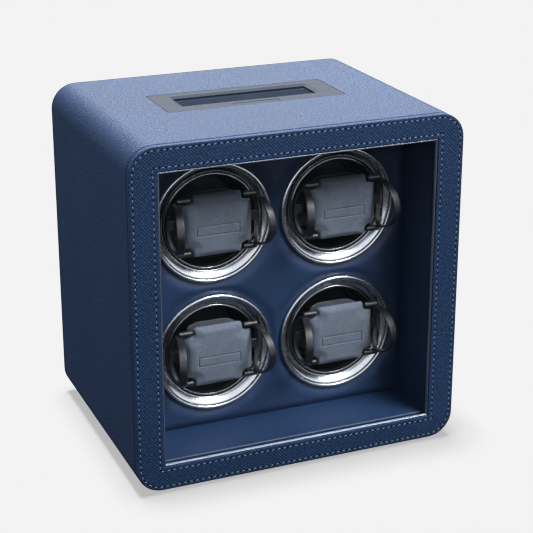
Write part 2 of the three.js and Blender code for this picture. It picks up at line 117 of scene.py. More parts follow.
# ---------------------------------------------------------------- settings
class WinderSizes(bpy.types.PropertyGroup):
    """Sizes that a maker may change."""

    grain_pitch: FloatProperty(
        name="Grain pitch", description="Distance between the ridges of the cross grain",
        default=2.0 * MM, unit="LENGTH")
    stitch_pitch: FloatProperty(
        name="Stitch pitch", description="Distance from one needle hole to the next",
        default=5 * MM, unit="LENGTH")
    stitch_length: FloatProperty(
        name="Stitch length", description="Length of thread that shows between two holes",
        default=2.4 * MM, unit="LENGTH")
    thread_radius: FloatProperty(
        name="Thread radius", description="Half the thickness of the sewing thread",
        default=0.38 * MM, unit="LENGTH")
    outer_seam: FloatProperty(
        name="Outer seam", description="Distance of the outer stitch line from the door's edge",
        default=2.9 * MM, unit="LENGTH")
    inner_seam: FloatProperty(
        name="Inner seam", description="Distance of the inner stitch line from the window",
        default=3.5 * MM, unit="LENGTH")
    leather_roll: FloatProperty(
        name="Leather roll", description="Radius of the leather where it turns over an edge",
        default=1.2 * MM, unit="LENGTH")
    panel_crown: FloatProperty(
        name="Panel crown", description="Height of the lining over the board between the rings",
        default=3 * MM, unit="LENGTH")
    emboss_depth: FloatProperty(
        name="Emboss depth", description="Depth of the outline pressed into each front pad",
        default=0.7 * MM, unit="LENGTH")
    pad_fill: FloatProperty(
        name="Pad fill", description="How tightly the pads are stuffed", default=0.55,
        min=0, max=1, subtype="FACTOR")


def colour_setting(name, description, red, green, blue):
    return FloatVectorProperty(
        name=name, description=description, subtype="COLOR", size=3, min=0, max=1,
        default=linear(red, green, blue))


class WinderColours(bpy.types.PropertyGroup):
    """Colours of the finishes."""

    wrap: colour_setting("Wrap", "Cross-grained leather outside", 28, 51, 83)
    lining: colour_setting("Lining", "Smooth leather inside", 34, 58, 94)
    thread: colour_setting("Thread", "Sewing thread", 112, 134, 166)
    pad: colour_setting("Pads", "Brushed cloth of the cuffs", 110, 121, 138)
    bezel: colour_setting("Bezel", "Satin display surround", 40, 47, 58)
    screen: colour_setting("Screen", "Display glass", 16, 26, 42)
    chrome: colour_setting("Chrome", "Rings round the cups", 192, 198, 206)
    black: colour_setting("Black", "Moulded black pieces", 15, 19, 26)


# ---------------------------------------------------------------- node helpers
def feed(tree, socket, value):
    """Links an output to the socket, or sets the socket's own value."""
    if isinstance(value, bpy.types.NodeSocket):
        tree.links.new(value, socket)
    else:
        socket.default_value = value


def add(tree, kind, inputs=None, **settings):
    node = tree.nodes.new(kind)
    for key, value in settings.items():
        setattr(node, key, value)
    for key, value in (inputs or {}).items():
        feed(tree, node.inputs[key], value)
    return node


def calc(tree, operation, first, second=0.0, third=0.0):
    inputs = {0: first, 1: second}
    if operation == "MULTIPLY_ADD":
        inputs[2] = third
    return add(tree, "ShaderNodeMath", inputs, operation=operation).outputs[0]


def ramp(tree, value, low, high, out_low=0.0, out_high=1.0):
    inputs = {0: value, 1: low, 2: high, 3: out_low, 4: out_high}
    return add(tree, "ShaderNodeMapRange", inputs, clamp=True).outputs[0]


def blend_colour(tree, factor, first, second):
    node = add(tree, "ShaderNodeMix", data_type="RGBA")
    feed(tree, node.inputs[0], factor)
    for index, colour in ((6, first), (7, second)):
        if not isinstance(colour, bpy.types.NodeSocket):
            colour = (*colour[:3], 1)
        feed(tree, node.inputs[index], colour)
    return node.outputs[2]


def new_group(name, kind, inputs, outputs):
    """A node group with named sockets: (tree, group input, group output)."""
    tree = bpy.data.node_groups.new(name, kind)
    for way, sockets in (("INPUT", inputs), ("OUTPUT", outputs)):
        for label, socket_type, *default in sockets:
            socket = tree.interface.new_socket(label, in_out=way, socket_type=socket_type)
            if default:
                socket.default_value = default[0]
    source = tree.nodes.new("NodeGroupInput")
    return tree, source.outputs, tree.nodes.new("NodeGroupOutput")


def use_group(tree, group, inputs):
    return add(tree, "ShaderNodeGroup", inputs, node_tree=group).outputs


def toned(colour, share):
    """The colour made darker or lighter by a share."""
    return tuple(min(1.0, part * share) for part in colour)


# ---------------------------------------------------------------- shared effects
def cross_grain_group():
    """Two crossing families of slanted ridges, a little uneven, as pressed into the wrap."""
    tree, source, sink = new_group(
        "Cross grain", "ShaderNodeTree",
        [("Vector", "NodeSocketVector"), ("Pitch", "NodeSocketFloat", 1.3 * MM),
         ("Wander", "NodeSocketFloat", 0.5)],
        [("Height", "NodeSocketFloat"), ("Furrow", "NodeSocketFloat")])
    per_pitch = calc(tree, "DIVIDE", 1.0, source["Pitch"])
    scaled = add(tree, "ShaderNodeVectorMath", {0: source["Vector"], 3: per_pitch},
                 operation="SCALE").outputs[0]
    drift = add(tree, "ShaderNodeTexNoise", {"Vector": scaled, "Scale": 0.55, "Detail": 2.0})
    shift = add(tree, "ShaderNodeVectorMath", {0: drift.outputs["Color"], 1: (0.5, 0.5, 0.5)},
                operation="SUBTRACT").outputs[0]
    moved = add(tree, "ShaderNodeVectorMath", {0: shift, 3: source["Wander"]},
                operation="SCALE").outputs[0]
    point = add(tree, "ShaderNodeVectorMath", {0: scaled, 1: moved}, operation="ADD").outputs[0]
    axes = add(tree, "ShaderNodeSeparateXYZ", {0: point}).outputs
    waves = []
    for sign, stretch in ((1, 1.0), (-1, 0.9)):
        across = calc(tree, "MULTIPLY_ADD", axes[1], sign, axes[0])
        turn = calc(tree, "MULTIPLY", across, stretch * TAU * math.sqrt(0.5))
        waves.append(ramp(tree, calc(tree, "SINE", turn), -0.9, 0.6))
    woven = calc(tree, "MULTIPLY_ADD", waves[1], 0.45, calc(tree, "MULTIPLY", waves[0], 0.55))
    speck = add(tree, "ShaderNodeTexNoise", {"Vector": scaled, "Scale": 0.9, "Detail": 3.0,
                                             "Roughness": 0.65})
    uneven = ramp(tree, speck.outputs[0], 0.35, 0.65, 0.25, 1.2)
    height = calc(tree, "MULTIPLY", woven, uneven)
    tree.links.new(height, sink.inputs["Height"])
    tree.links.new(ramp(tree, height, 0.15, 0.5, 1.0, 0.0), sink.inputs["Furrow"])
    return tree


def mottle_group():
    """Slow colour drift and fine specks, each from 0 to 1."""
    tree, source, sink = new_group(
        "Mottle", "ShaderNodeTree",
        [("Vector", "NodeSocketVector"), ("Broad", "NodeSocketFloat", 14.0),
         ("Fine", "NodeSocketFloat", 900.0)],
        [("Drift", "NodeSocketFloat"), ("Specks", "NodeSocketFloat")])
    broad = add(tree, "ShaderNodeTexNoise",
                {"Vector": source["Vector"], "Scale": source["Broad"], "Detail": 3.0})
    fine = add(tree, "ShaderNodeTexNoise",
               {"Vector": source["Vector"], "Scale": source["Fine"], "Detail": 4.0,
                "Roughness": 0.65})
    tree.links.new(ramp(tree, broad.outputs[0], 0.3, 0.7), sink.inputs["Drift"])
    tree.links.new(ramp(tree, fine.outputs[0], 0.3, 0.7), sink.inputs["Specks"])
    return tree


def edge_highlight_group():
    """Painted highlight along an edge, from the piece's own edge attribute broken up by noise."""
    tree, source, sink = new_group(
        "Edge rub", "ShaderNodeTree",
        [("Vector", "NodeSocketVector"), ("Amount", "NodeSocketFloat", 0.5)],
        [("Mask", "NodeSocketFloat")])
    edge = add(tree, "ShaderNodeAttribute", attribute_name="edge").outputs["Fac"]
    noise = add(tree, "ShaderNodeTexNoise", {"Vector": source["Vector"], "Scale": 120.0,
                                             "Detail": 3.0})
    broken = ramp(tree, noise.outputs[0], 0.35, 0.65, 0.35, 1.0)
    edge_lit = calc(tree, "MULTIPLY", calc(tree, "MULTIPLY", edge, broken), source["Amount"])
    tree.links.new(edge_lit, sink.inputs["Mask"])
    return tree


def scuff_group():
    """Faint handling marks: a roughness offset and a small height."""
    tree, source, sink = new_group(
        "Handling marks", "ShaderNodeTree",
        [("Vector", "NodeSocketVector"), ("Scale", "NodeSocketFloat", 60.0),
         ("Rough low", "NodeSocketFloat", 0.1), ("Rough high", "NodeSocketFloat", 0.2)],
        [("Roughness", "NodeSocketFloat"), ("Height", "NodeSocketFloat")])
    stretched = add(tree, "ShaderNodeMapping", {"Vector": source["Vector"], "Scale": (1, 1, 2.5)})
    noise = add(tree, "ShaderNodeTexNoise",
                {"Vector": stretched.outputs[0], "Scale": source["Scale"], "Detail": 6.0,
                 "Roughness": 0.6, "Distortion": 0.6})
    rough = ramp(tree, noise.outputs[0], 0.3, 0.75, source["Rough low"], source["Rough high"])
    tree.links.new(rough, sink.inputs["Roughness"])
    tree.links.new(noise.outputs[0], sink.inputs["Height"])
    return tree


GROUPS = {}


def shared(name):
    makers = {"grain": cross_grain_group, "mottle": mottle_group, "rub": edge_highlight_group,
              "scuff": scuff_group}
    if name not in GROUPS:
        GROUPS[name] = makers[name]()
    return GROUPS[name]


# ---------------------------------------------------------------- finishes
def new_finish(name, **constants):
    """A material with its shader and Object coordinates: (material, tree, shader, coordinates)."""
    material = bpy.data.materials.new(name)
    material.use_nodes = True
    tree = material.node_tree
    tree.nodes.clear()
    shader = tree.nodes.new("ShaderNodeBsdfPrincipled")
    output = tree.nodes.new("ShaderNodeOutputMaterial")
    tree.links.new(shader.outputs[0], output.inputs["Surface"])
    for key, value in constants.items():
        shader.inputs[key.replace("_", " ")].default_value = value
    where = add(tree, "ShaderNodeTexCoord").outputs["Object"]
    return material, tree, shader, where


def bump(tree, shader, height, strength, distance):
    node = add(tree, "ShaderNodeBump",
               {"Height": height, "Strength": strength, "Distance": distance})
    tree.links.new(node.outputs[0], shader.inputs["Normal"])


def wrap_leather(sizes, colours):
    """Cross-grained leather, with painted shade in the furrows and painted highlights on the ridges
    and along the rolled edges.
    """
    material, tree, shader, where = new_finish(
        "wrap_leather", Specular_IOR_Level=0.15)
    laid = add(tree, "ShaderNodeUVMap", uv_map="Laid").outputs[0]
    grain = use_group(tree, shared("grain"), {"Vector": laid, "Pitch": sizes.grain_pitch,
                                              "Wander": 0.8})
    tone = use_group(tree, shared("mottle"), {"Vector": where, "Broad": 9.0, "Fine": 700.0})
    rub = use_group(tree, shared("rub"), {"Vector": where, "Amount": 0.35})
    base = tuple(colours.wrap)
    drifted = blend_colour(tree, tone["Drift"], toned(base, 0.86), toned(base, 1.14))
    # Painted highlight: the ridges of the grain are made lighter.
    pale = tuple(part * 1.35 + 0.005 for part in base)
    ridge = blend_colour(tree, ramp(tree, grain["Height"], 0.4, 1.0), drifted, pale)
    # Painted shade: the furrows of the grain are made darker.
    ridged = blend_colour(tree, calc(tree, "MULTIPLY", grain["Furrow"], 0.7), ridge,
                          toned(base, 0.4))
    # Painted highlight: the rolled edges are made lighter, broken up by noise.
    edge_lit = blend_colour(tree, rub["Mask"], ridged, toned(base, 1.9))
    tree.links.new(edge_lit, shader.inputs["Base Color"])
    rough = ramp(tree, grain["Height"], 0.1, 0.9, 0.7, 0.46)
    tree.links.new(rough, shader.inputs["Roughness"])
    height = calc(tree, "MULTIPLY_ADD", tone["Specks"], 0.25, grain["Height"])
    bump(tree, shader, height, 1.0, 0.3 * MM)
    return material


def lining_leather(colours):
    """Smooth lining with a fine pebble."""
    material, tree, shader, where = new_finish("lining_leather", Specular_IOR_Level=0.4)
    tone = use_group(tree, shared("mottle"), {"Vector": where, "Broad": 16.0, "Fine": 850.0})
    pebble = add(tree, "ShaderNodeTexVoronoi", {"Vector": where, "Scale": 950.0},
                 feature="SMOOTH_F1")
    base = tuple(colours.lining)
    drifted = blend_colour(tree, tone["Drift"], toned(base, 0.88), toned(base, 1.12))
    specked = blend_colour(tree, calc(tree, "MULTIPLY", tone["Specks"], 0.3), drifted,
                           toned(base, 0.6))
    tree.links.new(specked, shader.inputs["Base Color"])
    tree.links.new(ramp(tree, tone["Specks"], 0, 1, 0.5, 0.38), shader.inputs["Roughness"])
    height = calc(tree, "MULTIPLY_ADD", tone["Specks"], 0.6, pebble.outputs["Distance"])
    bump(tree, shader, height, 0.25, 0.1 * MM)
    return material


def smooth_finish(name, colour, rough_low, rough_high, scale=60.0, relief=0.02, **constants):
    """A moulded, plated or painted surface with faint handling marks."""
    material, tree, shader, where = new_finish(name, **constants)
    marks = use_group(tree, shared("scuff"), {"Vector": where, "Scale": scale,
                                              "Rough low": rough_low, "Rough high": rough_high})
    tone = use_group(tree, shared("mottle"), {"Vector": where, "Broad": 25.0, "Fine": 1500.0})
    tint = blend_colour(tree, tone["Drift"], toned(colour, 0.93), toned(colour, 1.05))
    tree.links.new(tint, shader.inputs["Base Color"])
    tree.links.new(marks["Roughness"], shader.inputs["Roughness"])
    bump(tree, shader, marks["Height"], relief, 0.1 * MM)
    return material


def brushed_cloth(name, base):
    """The cuffs' short-napped cloth."""
    material, tree, shader, where = new_finish(
        name, Specular_IOR_Level=0.25, Sheen_Weight=0.35, Sheen_Roughness=0.45)
    tone = use_group(tree, shared("mottle"), {"Vector": where, "Broad": 60.0, "Fine": 800.0})
    nap = add(tree, "ShaderNodeTexNoise", {"Vector": where, "Scale": 2400.0, "Detail": 3.0})
    drifted = blend_colour(tree, tone["Drift"], toned(base, 1.05), toned(base, 1.3))
    specked = blend_colour(tree, calc(tree, "MULTIPLY", tone["Specks"], 0.6), drifted,
                           toned(base, 0.5))
    tree.links.new(specked, shader.inputs["Base Color"])
    tree.links.new(ramp(tree, nap.outputs[0], 0.3, 0.7, 0.72, 0.92), shader.inputs["Roughness"])
    height = calc(tree, "MULTIPLY_ADD", nap.outputs[0], 0.7, tone["Specks"])
    bump(tree, shader, height, 0.35, 0.12 * MM)
    return material


def clear_glass():
    """Thin anti-reflection glass with a trace of wiping marks."""
    material, tree, shader, where = new_finish(
        "clear_glass", Base_Color=(0.01, 0.015, 0.02, 1), Alpha=0.06, IOR=1.45)
    marks = use_group(tree, shared("scuff"), {"Vector": where, "Scale": 18.0, "Rough low": 0.02,
                                              "Rough high": 0.07})
    tree.links.new(marks["Roughness"], shader.inputs["Roughness"])
    return material


def thread_finish(colours):
    """Waxed thread with a fine twist."""
    material, tree, shader, where = new_finish("thread", Sheen_Weight=0.2)
    twist = add(tree, "ShaderNodeTexWave", {"Vector": where, "Scale": 900.0, "Distortion": 1.0},
                bands_direction="DIAGONAL")
    base = tuple(colours.thread)
    tone = blend_colour(tree, twist.outputs["Fac"], toned(base, 0.6), base)
    tree.links.new(tone, shader.inputs["Base Color"])
    tree.links.new(ramp(tree, twist.outputs["Fac"], 0, 1, 0.7, 0.5), shader.inputs["Roughness"])
    bump(tree, shader, twist.outputs["Fac"], 0.3, 0.1 * MM)
    return material


def pressed_board(name, colour, scale):
    """Fibreboard or a circuit board: fibres, specks and a dull face."""
    material, tree, shader, where = new_finish(name, Specular_IOR_Level=0.3)
    tone = use_group(tree, shared("mottle"), {"Vector": where, "Broad": 30.0, "Fine": scale})
    specked = blend_colour(tree, tone["Specks"], toned(colour, 0.65),
                           toned(colour, 1.35))
    tree.links.new(specked, shader.inputs["Base Color"])
    tree.links.new(ramp(tree, tone["Drift"], 0, 1, 0.72, 0.86), shader.inputs["Roughness"])
    bump(tree, shader, tone["Specks"], 0.3, 0.15 * MM)
    return material


# Painted shade: the needle holes are dark dimples, not real holes.
def needle_hole_shade_finish():
    material, tree, shader, where = new_finish("needle_hole", Specular_IOR_Level=0.1)
    tone = use_group(tree, shared("mottle"), {"Vector": where, "Broad": 80.0, "Fine": 2000.0})
    dark = blend_colour(tree, tone["Specks"], linear(3, 5, 10), linear(10, 15, 25))
    tree.links.new(dark, shader.inputs["Base Color"])
    tree.links.new(ramp(tree, tone["Drift"], 0, 1, 0.85, 0.95), shader.inputs["Roughness"])
    return material


FINISHES = {}


def finish(name):
    """Each finish is made once, when a piece first asks for it."""
    if name in FINISHES:
        return FINISHES[name]
    sizes = bpy.context.scene.winder_sizes
    colours = bpy.context.scene.winder_colours
    makers = {
        "wrap": lambda: wrap_leather(sizes, colours),
        "lining": lambda: lining_leather(colours),
        "cloth": lambda: brushed_cloth("brushed_cloth", tuple(colours.pad)),
        # Painted shade: the rear pads' cloth is a darker copy of the pad cloth.
        "dark_cloth": lambda: brushed_cloth("dark_cloth", linear(58, 64, 74)),
        "glass": clear_glass,
        "thread": lambda: thread_finish(colours),
        "hole": needle_hole_shade_finish,
        "chrome": lambda: smooth_finish(
            "chrome", tuple(colours.chrome), 0.2, 0.3, scale=120.0, relief=0.04,
            Metallic=1.0),
        "smoked": lambda: smooth_finish(
            "smoked_chrome", linear(130, 134, 140), 0.14, 0.24, Metallic=1.0),
        "steel": lambda: smooth_finish(
            "steel", linear(150, 154, 160), 0.28, 0.42, scale=200.0, relief=0.08, Metallic=1.0),
        "spring_black": lambda: smooth_finish(
            "spring_black", tuple(colours.black), 0.36, 0.46, Specular_IOR_Level=0.55),
        "bowl_black": lambda: smooth_finish(
            "bowl_black", linear(8, 9, 11), 0.34, 0.48, Specular_IOR_Level=0.7),
        "bezel": lambda: smooth_finish(
            "bezel_satin", tuple(colours.bezel), 0.42, 0.52, scale=300.0, relief=0.06,
            Specular_IOR_Level=0.03),
        "trim": lambda: smooth_finish(
            "trim_silver", linear(128, 136, 149), 0.3, 0.4, Metallic=0.85),
        "screen": lambda: smooth_finish(
            "screen_glass", tuple(colours.screen), 0.08, 0.16, Specular_IOR_Level=0.02),
        "plastic": lambda: smooth_finish(
            "black_plastic", linear(20, 21, 23), 0.45, 0.6, scale=150.0, relief=0.1),
        "rubber": lambda: smooth_finish(
            "rubber", linear(16, 16, 17), 0.8, 0.92, scale=400.0, relief=0.25),
        "board": lambda: pressed_board("circuit_board", linear(20, 84, 52), 1800.0),
        "fibreboard": lambda: pressed_board("fibreboard", linear(34, 31, 29), 900.0),
    }
    FINISHES[name] = makers[name]()
    return FINISHES[name]


# ---------------------------------------------------------------- mesh helpers
def new_object(name, mesh):
    piece = bpy.data.objects.new(name, mesh)
    bpy.context.scene.collection.objects.link(piece)
    return piece


def skin(name, rings, flat=None, edge=None, closed=True):
    """A skin of quads over rings of points, closed round each ring and from the last to the first.

    The Laid UV map holds lengths along the surface, or the flat points where they are given.
    edge is a value per ring for the painted edge highlight."""
    count = len(rings[0])
    mesh = bpy.data.meshes.new(name)
    faces = []
    laid = []
    around = path_lengths(rings[0])
    along = path_lengths([ring[0] for ring in rings])
    for i in range(len(rings) if closed else len(rings) - 1):
        after = (i + 1) % len(rings)
        for j in range(count):
            beside = (j + 1) % count
            faces.append((i * count + j, i * count + beside, after * count + beside,
                          after * count + j))
            if flat:
                laid += [flat[i][j], flat[i][beside], flat[after][beside], flat[after][j]]
            else:
                laid += [(around[j], along[i]), (around[j + 1], along[i]),
                         (around[j + 1], along[i + 1]), (around[j], along[i + 1])]
    mesh.from_pydata([tuple(point) for ring in rings for point in ring], [], faces)
    layer = mesh.uv_layers.new(name="Laid")
    layer.data.foreach_set("uv", [part for pair in laid for part in pair])
    if edge:
        values = [value for value in edge for _ in range(count)]
        mesh.attributes.new("edge", "FLOAT", "POINT").data.foreach_set("value", values)
    return new_object(name, mesh)


def tidy(piece):
    """Merges doubles, closes open ends and turns the faces outwards."""
    shape = bmesh.new()
    shape.from_mesh(piece.data)
    bmesh.ops.remove_doubles(shape, verts=shape.verts, dist=0.002 * MM)
    bmesh.ops.dissolve_degenerate(shape, edges=shape.edges, dist=0.002 * MM)
    rims = [edge for edge in shape.edges if len(edge.link_faces) == 1]
    if rims:
        bmesh.ops.holes_fill(shape, edges=rims)
    bmesh.ops.recalc_face_normals(shape, faces=shape.faces)
    shape.to_mesh(piece.data)
    shape.free()
    return piece


def settle(piece):
    """Applies the piece's modifiers."""
    bpy.context.view_layer.update()
    graph = bpy.context.evaluated_depsgraph_get()
    mesh = bpy.data.meshes.new_from_object(piece.evaluated_get(graph), depsgraph=graph)
    piece.modifiers.clear()
    old = piece.data
    piece.data = mesh
    if old.users == 0 and isinstance(old, bpy.types.Mesh):
        bpy.data.meshes.remove(old)
    return piece


def smooth(piece, angle=35):
    """Smooth shading with sharp edges past the angle, and flat faces kept even."""
    piece.data.shade_smooth()
    piece.data.set_sharp_from_angle(angle=math.radians(angle))
    even = piece.modifiers.new("even faces", "WEIGHTED_NORMAL")
    even.keep_sharp = True
    return settle(piece)


def carve(piece, *cutters, operation="DIFFERENCE"):
    for cutter in cutters:
        change = piece.modifiers.new("carve", "BOOLEAN")
        change.object = cutter
        change.operation = operation
        change.solver = "EXACT"
    settle(piece)
    for cutter in cutters:
        bpy.data.objects.remove(cutter)
    return piece


def block(x0, x1, y0, y1, z0, z1, round_off=0.0, name="block"):
    """A rectangular piece, with its edges rounded off."""
    mesh = bpy.data.meshes.new(name)
    shape = bmesh.new()
    bmesh.ops.create_cube(shape, size=1)
    for corner in shape.verts:
        corner.co.x = x0 if corner.co.x < 0 else x1
        corner.co.y = y0 if corner.co.y < 0 else y1
        corner.co.z = z0 if corner.co.z < 0 else z1
    if round_off:
        bmesh.ops.bevel(shape, geom=shape.edges[:], offset=round_off, segments=3, profile=0.5,
                        affect="EDGES")
    bmesh.ops.recalc_face_normals(shape, faces=shape.faces)
    shape.to_mesh(mesh)
    shape.free()
    return new_object(name, mesh)


def turned(name, profile, centre, axis="y", segments=96):
    """A turned piece from a closed profile of (radius, place along the axis) pairs."""
    put = {"x": lambda c, s, place: (place, centre.y + c, centre.z + s),
           "y": lambda c, s, place: (centre.x + c, place, centre.z + s),
           "z": lambda c, s, place: (centre.x + c, centre.y + s, place)}[axis]
    rings = []
    for step in range(segments):
        c, s = unit(360 * step / segments)
        rings.append([put(radius * c, radius * s, place) for radius, place in profile])
    return tidy(skin(name, rings))


def unit(angle):
    """Cosine and sine of an angle in degrees."""
    turn = math.radians(angle)
    return math.cos(turn), math.sin(turn)


def rolled(radius, face):
    """Pairs of inset and depth where a surface turns off a face, from flat on it to square to it."""
    return [(radius - radius * s, face + radius - radius * c) for c, s in map(unit, QUARTER)]


def arc(x, y, radius, start, end, steps):
    """Points on an arc, angles in degrees."""
    found = []
    for step in range(steps + 1):
        turn = math.radians(start + (end - start) * step / steps)
        found.append((x + radius * math.cos(turn), y + radius * math.sin(turn)))
    return found


def rounded_rectangle(x, low, high, radius, per_corner=12, per_side=8):
    """Points round a rounded rectangle, starting at the right of its lower side."""
    radius = max(radius, 0.05 * MM)
    corners = [(x - radius, low + radius, -90), (x - radius, high - radius, 0),
               (radius - x, high - radius, 90), (radius - x, low + radius, 180)]
    points = []
    for index, (u, v, start) in enumerate(corners):
        curve = arc(u, v, radius, start, start + 90, per_corner)
        points += curve
        u, v, start = corners[(index + 1) % 4]
        target = arc(u, v, radius, start, start, 1)[0]
        for step in range(1, per_side):
            share = (1 - math.cos(math.pi * step / per_side)) / 2
            points.append(tuple(here + (there - here) * share
                                for here, there in zip(curve[-1], target)))
    return points


def path_lengths(points):
    """Running length round a closed line: one for each point, with the full length last."""
    total = [0.0]
    for here, there in zip(points, points[1:] + points[:1]):
        total.append(total[-1] + math.dist(here, there))
    return total


def dress(piece, body, slot, finishes, *nodes):
    """Gives a piece its finishes and its body, and hides the CAD nodes that it stands for; slot is
    not used.
    """
    wanted = [finishes] if isinstance(finishes, str) else finishes
    if wanted:
        piece.data.materials.clear()
        for name in wanted:
            piece.data.materials.append(finish(name))
    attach(piece, body)
    if nodes:
        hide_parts(*nodes)
    return piece


# ---------------------------------------------------------------- repeated details
def sewing_tree(name):
    """Runs a small piece along a closed line: one at each pitch, turned to follow the line."""
    tree, source, sink = new_group(
        name, "GeometryNodeTree",
        [("Line", "NodeSocketGeometry"), ("Pitch", "NodeSocketFloat", 5 * MM),
         ("Piece", "NodeSocketObject"), ("Along", "NodeSocketFloat", 0.0),
         ("Lean", "NodeSocketFloat", 0.0), ("Finish", "NodeSocketMaterial")],
        [("Geometry", "NodeSocketGeometry")])
    curve = add(tree, "GeometryNodeMeshToCurve", {"Mesh": source["Line"]}).outputs[0]
    spaced = add(tree, "GeometryNodeResampleCurve",
                 {"Curve": curve, "Length": source["Pitch"]}, mode="LENGTH").outputs[0]
    tangent = add(tree, "GeometryNodeInputTangent").outputs[0]
    facing = add(tree, "FunctionNodeAxesToRotation",
                 {"Primary Axis": tangent, "Secondary Axis": (0.0, -1.0, 0.0)},
                 primary_axis="X", secondary_axis="Z").outputs[0]
    lean = add(tree, "ShaderNodeCombineXYZ", {"Z": source["Lean"]}).outputs[0]
    turned_piece = add(tree, "FunctionNodeRotateRotation",
                       {"Rotation": facing, "Rotate By": lean}, rotation_space="LOCAL").outputs[0]
    info = add(tree, "GeometryNodeObjectInfo", {"Object": source["Piece"]})
    moved = add(tree, "GeometryNodeTransform", {
        "Geometry": info.outputs["Geometry"],
        "Translation": add(tree, "ShaderNodeCombineXYZ", {"X": source["Along"]}).outputs[0]})
    placed = add(tree, "GeometryNodeInstanceOnPoints",
                 {"Points": spaced, "Instance": moved.outputs[0], "Rotation": turned_piece})
    real = add(tree, "GeometryNodeRealizeInstances", {0: placed.outputs[0]}).outputs[0]
    done = add(tree, "GeometryNodeSetMaterial", {"Geometry": real, "Material": source["Finish"]})
    tree.links.new(done.outputs[0], sink.inputs["Geometry"])
    return tree


def sew(name, line, tree, values):
    """A piece made by the sewing tree along a line of points."""
    mesh = bpy.data.meshes.new(name)
    count = len(line)
    mesh.from_pydata(line, [(i, (i + 1) % count) for i in range(count)], [])
    piece = new_object(name, mesh)
    change = piece.modifiers.new("sewing", "NODES")
    change.node_group = tree
    for item in tree.interface.items_tree:
        if item.item_type == "SOCKET" and item.in_out == "INPUT" and item.name in values:
            change[item.identifier] = values[item.name]
    return settle(piece)


def thread_piece(length, radius):
    """One stitch lying along X: a short thread whose ends dive into the leather."""
    rings = []
    for step in range(9):
        share = step / 8
        x = length * (share - 0.5)
        lift = radius * (1.15 * math.sin(math.pi * share) ** 0.6 - 0.75)
        girth = radius * (0.72 + 0.28 * math.sin(math.pi * share))
        rings.append([(x, girth * math.cos(TAU * k / 8), lift + girth * math.sin(TAU * k / 8))
                      for k in range(8)])
    piece = tidy(skin("stitch", rings, closed=False))
    piece.data.shade_smooth()
    return piece


def hole_piece(radius):
    """One needle hole: a low dimple, which its finish colours dark as painted shade."""
    rings = [[(radius * size * math.cos(TAU * k / 10), radius * size * 0.8 * math.sin(TAU * k / 10),
               height) for k in range(10)]
             for size, height in ((1.0, -0.1 * MM), (0.85, 0.05 * MM), (0.45, 0.07 * MM))]
    return tidy(skin("hole", rings, closed=False))


# ---------------------------------------------------------------- cabinet
def leather_turn(roll, front, back, wall):
    """The tube's section: pairs of inset and depth, from the front turn round to the inside."""
    step = 0.5 * MM
    section = rolled(roll, front)
    section += [(0, front + roll + (back - front) * share) for share in (0.02, 0.2, 0.5, 0.8)]
    section += [(roll - roll * c, back - roll + roll * s) for c, s in map(unit, QUARTER)]
    return section + [(wall - step, back), (wall, back - step), (wall, front + step),
                      (wall - step, front)]


def profile_ring(inset, y):
    return [(x, y, z) for x, z in rounded_rectangle(
        SIDE - inset, BASE + inset, TOP - inset, CORNER_RADIUS - inset)]


def outer_shell(sizes):
    roll = sizes.leather_roll
    section = leather_turn(roll, SHELL[0].y, BACK, WALL)
    rings = [profile_ring(inset, y) for inset, y in section]
    # The front and back rolls carry the painted edge highlight.
    edge = [1.0 if 0 < inset < roll * 0.9 else 0.0 for inset, _ in section]
    shell = skin("wrapped_shell", rings, edge=edge)
    inside = len(section) - 3
    for index, face in enumerate(shell.data.polygons):
        face.material_index = 1 if index // len(rings[0]) == inside else 0
    shell.data.materials.append(finish("wrap"))
    shell.data.materials.append(finish("fibreboard"))
    tidy(shell)
    lo, hi = BEZEL
    gap, deep = 0.4 * MM, 2.5 * MM
    recess = rounded_rectangle(hi.x + gap, lo.y - gap, hi.y + gap, 1.6 * MM)
    opening = rounded_rectangle(hi.x - 5.6 * MM, lo.y + 1.6 * MM, hi.y - 3.6 * MM, 3 * MM)
    cutters = [
        extruded("recess", recess, TOP - deep, TOP + 1 * MM, "z"),
        extruded("opening", opening, TOP - 2 * WALL, TOP, "z"),
        extruded("magnet_seat", circle(middle(CATCH), STRIKE_SEAT), SHELL[0].y - 1 * MM,
                 SHELL[0].y + 3.2 * MM, "y"),
    ]
    for pin in HINGES:
        z = middle(pin).z
        cutters.append(block(SIDE - WALL + 1.5 * MM, SIDE - 1 * MM, SHELL[0].y - 1 * MM,
                             SHELL[0].y + 2 * MM, z - 12 * MM, z + 12 * MM))
    carve(shell, *cutters)
    dress(smooth(shell), "cabinet", "wrap_leather", [], "outer_shell")


def circle(centre, radius, count=48):
    return [(centre.x + radius * math.cos(TAU * k / count),
             centre.z + radius * math.sin(TAU * k / count)) for k in range(count)]


def extruded(name, outline, low, high, axis):
    """An outline given thickness along Y or Z."""
    rings = [[(u, place, v) if axis == "y" else (u, v, place) for u, v in outline]
             for place in (low, high)]
    return tidy(skin(name, rings, closed=False))


def screw_bosses():
    """Blocks at the top rear corners that the cover screws bite into."""
    width, length, height = 17 * MM, 14 * MM, 16 * MM
    bore, deep = 1.8 * MM, 13 * MM
    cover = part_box("rear_cover")
    start, end = cover[0].y - deep, cover[1].y
    for side in ("left", "right"):
        screw = middle(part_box(f"cover_screw_{side}"))
        out = math.copysign(SIDE - WALL, screw.x)
        across = sorted((out, out - math.copysign(width, out)))
        boss = block(*across, cover[0].y - length, cover[0].y - FIT, TOP - WALL - height,
                     TOP - WALL, 0.8 * MM, f"screw_boss_{side}")
        carve(boss, turned("bore", [(0, start), (bore, start), (bore, end), (0, end)], screw,
                           segments=24))
        dress(smooth(boss), "cabinet", "rear_board", "fibreboard")


